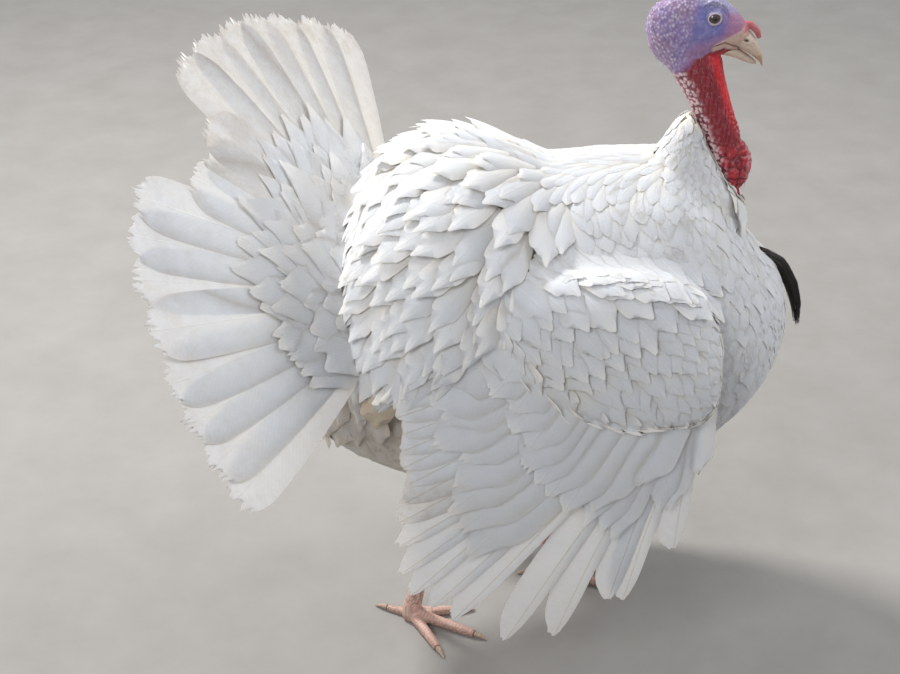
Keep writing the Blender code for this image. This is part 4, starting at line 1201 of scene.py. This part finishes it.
def eye_frame(side):
    sign = SIGNS[side]
    centre = EYE * (1, -sign, 1)
    axis = EYE_AXIS * (1, sign, 1)
    forward = unit(np.array((1.0, -axis[0] * sign, 0.0)))
    forward = unit(forward - axis * np.dot(forward, axis))
    upward = np.cross(forward, axis) * sign
    return centre, axis, forward, upward


def eye_material():
    """A dark brown iris round a black pupil, under a clear wet surface."""
    s = Shader("eye", Roughness=0.06, Coat_Weight=1.0, Coat_Roughness=0.02)
    turn = s.parts("turn")[0]
    iris = s.mix(s.mottle(1400.0, 0.3, 0.7), (0.03, 0.012, 0.008), (0.085, 0.036, 0.02))
    colour = s.mix(s.between(turn, 0.3, 0.34), (0.002, 0.002, 0.003), iris)
    s.give("Base Color", s.mix(s.between(turn, 0.62, 0.72), colour, (0.02, 0.012, 0.014)))
    return s.material


def lid_material():
    s = Shader("eyelid", Roughness=0.42, Subsurface_Weight=0.15, Subsurface_Scale=0.002)
    s.give("Base Color", s.mix(s.mottle(700.0, 0.3, 0.7), (0.62, 0.56, 0.56), (0.4, 0.34, 0.42)))
    s.bump(s.mottle(1500.0, 0.3, 0.7), 0.4, 0.0003)
    return s.material


def make_eyeball(side, material):
    centre, axis, forward, upward = eye_frame(side)
    rings, columns = 24, 40
    polar = np.linspace(0, math.pi, rings)[:, None, None]
    round_ = np.linspace(0, 2 * math.pi, columns, endpoint=False)[None, :, None]
    bulge = 1 + 0.05 * np.exp(-(polar / 0.75) ** 4)
    aside = forward * np.cos(round_) + upward * np.sin(round_)
    points = centre + EYE_RADIUS * bulge * (axis * np.cos(polar) + np.sin(polar) * aside)
    rows = np.arange(rings - 1)[:, None] * columns
    first, after = rows + np.arange(columns), rows + (np.arange(columns) + 1) % columns
    order = (first, after, after + columns, first + columns)
    order = order if np.dot(np.cross(forward, upward), axis) < 0 else order[::-1]
    mesh = mesh_from(points.reshape(-1, 3), np.stack(order, axis=-1).reshape(-1, 4))
    shape = bmesh.new()
    shape.from_mesh(mesh)
    bmesh.ops.remove_doubles(shape, verts=shape.verts, dist=0.000001)
    bmesh.ops.recalc_face_normals(shape, faces=shape.faces)
    shape.to_mesh(mesh)
    shape.free()
    eye = add_piece("eyeball_" + side, mesh, material, "eye", "eye_" + side)
    turn = np.arccos(np.clip(unit(mesh_arrays(mesh)[0] - SHIFT - centre) @ axis, -1, 1))
    point_colours(eye, "turn", turn[:, None])


def make_eyelids(side, material):
    """The lids' rim and two folds round it."""
    centre, axis, forward, upward = eye_frame(side)
    loops = []
    for size, thick, over in ((1.02, 0.00085, 0.0007), (1.24, 0.0006, 0.0009), (1.45, 0.00045, 0.0006)):
        angle = np.linspace(0, 2 * math.pi, 72, endpoint=False)[:, None]
        reach_forward = OPENING[0] * size * np.cos(angle)
        reach_up = OPENING[1] * size * np.sin(angle)
        distance = np.hypot(reach_forward, reach_up)
        height = np.sqrt(np.clip((EYE_RADIUS + over) ** 2 - distance ** 2, 0, None))
        path = centre + forward * reach_forward + upward * reach_up + axis * height
        loops.append((path, thick * (0.85 + 0.3 * value_noise(path, 0.002, 7))))
    add_piece("eyelid_" + side, mesh_from(*ring_mesh(loops, 10)), material, "head_skin")


def ring_mesh(loops, sides):
    """Points and quads of closed rings, from their paths and thicknesses."""
    points, faces, count = [], [], 0
    for path, thick in loops:
        ahead = unit(np.roll(path, -1, axis=0) - np.roll(path, 1, axis=0))
        outward = unit(path - path.mean(axis=0))
        second = np.cross(ahead, outward)
        turns = np.linspace(0, 2 * math.pi, sides, endpoint=False)
        ring = path[:, None] + thick[:, None, None] * (outward[:, None] * np.cos(turns)[:, None]
                                                       + second[:, None] * np.sin(turns)[:, None])
        first = np.arange(len(path))[:, None] * sides + np.arange(sides)
        after = np.arange(len(path))[:, None] * sides + (np.arange(sides) + 1) % sides
        ahead_by = np.roll(first, -1, axis=0), np.roll(after, -1, axis=0)
        faces.append(np.stack([first, ahead_by[0], ahead_by[1], after], axis=-1).reshape(-1, 4) + count)
        points.append(ring.reshape(-1, 3))
        count += ring.size // 3
    return np.concatenate(points), np.concatenate(faces)


def make_bill():
    """Both halves of the bill, with a nostril in a pale rim, growth lines and a worn tip."""
    s = Shader("bill_horn", Roughness=0.38, Subsurface_Weight=0.12, Subsurface_Scale=0.003)
    stretched = s.add("VectorMath", {0: s.place, 1: (0.3, 1.6, 1.0)}, operation="MULTIPLY").outputs[0]
    lines = s.mottle(620.0, 0.38, 0.66, place=stretched)
    s.give("Base Color", s.mix(s.times(lines, 0.35), s.painted("paint"), (0.3, 0.19, 0.12)))
    s.give("Roughness", s.scaled(lines, 0.18, 0.3))
    s.bump(lines, 0.35, 0.0003)
    for name in ("bill_upper", "bill_lower"):
        mesh = united_mesh([name], 0.0006, 0.0002, 5)
        points, _, normals = mesh_arrays(mesh)
        x, y, z = points.T
        tip = ramp(x - 0.35 * (z - 0.76), 0.16, 0.176)
        rough = rough_noise(points, 0.005, 111)
        colours = blend(rough, (0.56, 0.43, 0.35), (0.64, 0.54, 0.44))
        colours = blend(tip, colours, (0.62, 0.43, 0.22))
        relief = 0.00025 * (rough_noise(points * (0.4, 1.5, 1), 0.0022, 121) - 0.5)
        if name == "bill_upper":
            along, up = x - 0.153, z - 0.779
            slant = along * 0.9 + up * -0.42, along * 0.42 + up * 0.9
            hole = np.hypot(slant[0] / 0.0036, slant[1] / 0.0017) * np.where(np.abs(y) > 0.003, 1, 9)
            relief -= 0.0016 * ramp(-hole, -1.15, -0.55)
            rim = np.exp(-((hole - 1.55) / 0.4) ** 2)
            relief += 0.0006 * rim
            colours = blend(0.6 * rim, colours, (0.72, 0.64, 0.58))
            # painted shade: the nostril's inside is nearly black, for the depth of the opening, which the
            # shallow dent does not give
            colours = blend(ramp(-hole, -1.1, -0.6), colours, (0.06, 0.03, 0.025))
            edge = ramp(-(z - np.interp(x, GAPE_X, GAPE_Z)), -0.0035, -0.0005)
            colours = blend(0.5 * edge, colours, (0.33, 0.15, 0.1))
        else:
            top = ramp(z - np.interp(x, GAPE_X, GAPE_Z), -0.0045, -0.0015)
            colours = blend(0.6 * top, colours, (0.45, 0.09, 0.06))
        set_points(mesh, points + normals * relief[:, None] + SHIFT)
        point_colours(add_piece(name + "_horn", mesh, s.material, "bill_horn", name), "paint", colours)


BEARD_PATH = ((0.183, 0.515, 0.006), (0.19, 0.512, 0.0075), (0.212, 0.498, 0.008), (0.228, 0.47, 0.0078),
              (0.237, 0.44, 0.0062), (0.24, 0.411, 0.0028))      # bird: X, Z and radius of the beard


def bristle_material(name, colour, second, roughness):
    s = Shader(name, Roughness=roughness)
    s.give("Base Color", s.mix(s.mottle(240.0, 0.3, 0.7), colour, second))
    s.bump(s.mottle(900.0, 0.3, 0.7), 0.3, 0.0002)
    return s.material


def make_beard():
    """A tuft of coarse black bristles that hangs from the breast."""
    rng = np.random.default_rng(17)
    path = np.array(BEARD_PATH)
    count, stations = 260, 12
    share = np.linspace(0, 1, stations)[None] * rng.uniform(0.72, 1.0, (count, 1))
    place = share * (len(path) - 1)
    middle = np.stack([np.interp(place, np.arange(len(path)), path[:, n]) for n in range(3)], axis=-1)
    turn = rng.uniform(0, 2 * math.pi, (count, 1))
    out = np.sqrt(rng.random((count, 1))) * middle[..., 2] * 0.92
    wave = 0.0006 * np.sin(share * rng.uniform(6, 16, (count, 1)) + turn * 3)
    centres = np.stack([middle[..., 0] + out * np.cos(turn) + wave, out * np.sin(turn) + wave,
                        middle[..., 1] + 0.5 * out * np.cos(turn)], axis=-1)
    radii = 0.00042 * (1 - 0.6 * share)
    material = bristle_material("beard_bristle", (0.012, 0.011, 0.011), (0.04, 0.034, 0.03), 0.42)
    add_piece("beard_bristles", mesh_from(*tube_mesh(centres, radii, 4)), material, "beard", "beard")


def make_head_bristles(skin_tree):
    """Short fine bristles: pale on the head and neck, dark on the white below the wattle."""
    rng = np.random.default_rng(19)
    for name, count, low, high, length, thick, colours in (
            ("head_bristles", 420, (0.04, 0.69, 0.0), (0.112, 0.826, 0.03), (0.0035, 0.007), 0.00016,
             ((0.6, 0.58, 0.6), (0.3, 0.28, 0.32))),
            ("neck_bristles", 90, (0.115, 0.56, 0.0), (0.185, 0.606, 0.04), (0.006, 0.011), 0.00028,
             ((0.05, 0.045, 0.042), (0.11, 0.1, 0.095)))):
        centres = []
        while len(centres) < count:
            start = np.array(low) + rng.random(3) * (np.array(high) - np.array(low))
            start[1], start[2] = start[2] * rng.choice((-1, 1)), start[1]
            place, normal, _, distance = skin_tree.find_nearest(Vector(start))
            if distance > 0.02 or place[2] < low[1] - 0.02:
                continue
            out = np.array(normal)
            down = np.array((-0.35, 0.0, -1.0))
            down = unit(down - out * np.dot(down, out) + 1e-6)
            ahead = unit(down + out * rng.uniform(0.25, 0.7) + rng.normal(0, 0.18, 3))
            reach = rng.uniform(*length)
            share = np.linspace(0, 1, 4)[:, None]
            centres.append(np.array(place) + ahead * share * reach - out * 0.0004
                           + down * share ** 2 * reach * 0.25)
        centres = np.array(centres)
        radii = np.broadcast_to(thick * np.array((1.0, 0.85, 0.6, 0.15)), centres.shape[:2])
        add_piece(name, mesh_from(*tube_mesh(centres, radii, 3)), bristle_material(name, *colours, 0.5),
                  "head_skin" if name == "head_bristles" else "beard")


def make_claws():
    s = Shader("claw_horn", Roughness=0.4, Subsurface_Weight=0.1, Subsurface_Scale=0.002)
    lines = s.mottle(420.0, 0.35, 0.68)
    s.give("Base Color", s.mix(lines, (0.5, 0.38, 0.29), (0.27, 0.18, 0.13)))
    s.give("Roughness", s.scaled(lines, 0.2, 0.3))
    s.bump(lines, 0.3, 0.0002)
    for name in sorted(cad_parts):
        if name.startswith("claw_"):
            mesh = united_mesh([name], 0.0007, 0.0002, 4)
            points = mesh_arrays(mesh)[0] + SHIFT
            points[:, 2] = np.maximum(points[:, 2], FLOOR_Z)
            set_points(mesh, points)
            add_piece(name + "_horn", mesh, s.material, "claw_horn", name)


# ---------------------------------------------------------------- stage, light and camera
CAMERA_PLACE = np.array((-0.1816, -1.74, 1.42))    # bird
CAMERA_PITCH = math.radians(30.2)
CAMERA_ROLL = math.radians(1.6)
CAMERA_LENS = 66.2
FLOOR_EDGE = 6.0                                   # half the length of the floor's sides


def make_stage():
    s = Shader("floor", Roughness=0.85)
    s.give("Base Color", s.mix(s.mottle(9.0, 0.3, 0.7), (0.285, 0.275, 0.26), (0.32, 0.31, 0.295)))
    s.bump(s.mottle(160.0, 0.2, 0.8), 0.15, 0.001)
    mesh = bpy.data.meshes.new("floor")
    corners = ((-1, -1), (1, -1), (1, 1), (-1, 1))
    mesh.from_pydata([(FLOOR_EDGE * x, FLOOR_EDGE * y, FLOOR_Z) for x, y in corners], [], [(0, 1, 2, 3)])
    mesh.materials.append(s.material)
    add_object("floor", mesh)


def make_light(name, place, target, size, power, colour):
    light = bpy.data.lights.new(name, "AREA")
    light.shape = "DISK"
    light.size = size
    light.energy = power
    light.color = colour
    holder = add_object(name, light)
    holder.location = Vector(place)
    holder.rotation_euler = (Vector(target) - Vector(place)).to_track_quat("-Z", "Y").to_euler()


def make_lights():
    make_light("key", (-1.35, 1.35, 2.8), (0, 0, 0.45), 0.6, 105, (1.0, 0.98, 0.95))
    make_light("front", (-1.6, -2.4, 2.6), (0, 0, 0.35), 1.6, 42, (1.0, 0.99, 0.98))
    make_light("side", (2.2, 0.4, 1.9), (0, 0, 0.4), 1.2, 24, (1.0, 0.98, 0.96))
    world = bpy.data.worlds.new("studio")
    world.use_nodes = True
    background = world.node_tree.nodes["Background"].inputs
    background[0].default_value = (0.93, 0.95, 1.0, 1.0)
    background[1].default_value = 0.58
    bpy.context.scene.world = world
    bpy.context.scene.view_settings.view_transform = "Standard"


def make_camera():
    camera = bpy.data.cameras.new("camera")
    camera.lens = CAMERA_LENS
    camera.sensor_width = 36.0
    holder = add_object("camera", camera)
    right = Vector((1, 0, 0))
    ahead = Vector((0, math.cos(CAMERA_PITCH), -math.sin(CAMERA_PITCH)))
    up = right.cross(ahead)
    tilted_right = right * math.cos(CAMERA_ROLL) - up * math.sin(CAMERA_ROLL)
    tilted_up = right * math.sin(CAMERA_ROLL) + up * math.cos(CAMERA_ROLL)
    turn = Matrix((tilted_right, tilted_up, -ahead)).transposed().to_4x4()
    holder.matrix_world = Matrix.Translation(Vector(CAMERA_PLACE + SHIFT)) @ turn
    bpy.context.scene.camera = holder


make_body_coat()
for side in SIGNS:
    make_flight_feathers(side)
    make_greater_coverts(side)
    make_arm_coverts(side)
    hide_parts("wing_primaries_" + side)
    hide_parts("wing_secondaries_" + side)
shoulder_form = Form(["trunk", "rump", "wing_arm_left", "wing_arm_right"], 0.007, 0.003, 16)
for side in SIGNS:
    make_scapulars(shoulder_form, side)
make_rectrices()
make_tail_coverts()
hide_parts("tail_fan")
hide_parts("tail_coverts")
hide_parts("undertail_coverts")
make_head_bristles(make_skin())
eye_look, lid_look = eye_material(), lid_material()
for side in SIGNS:
    make_eyeball(side, eye_look)
    make_eyelids(side, lid_look)
make_bill()
make_beard()
make_claws()
make_stage()
make_lights()
make_camera()
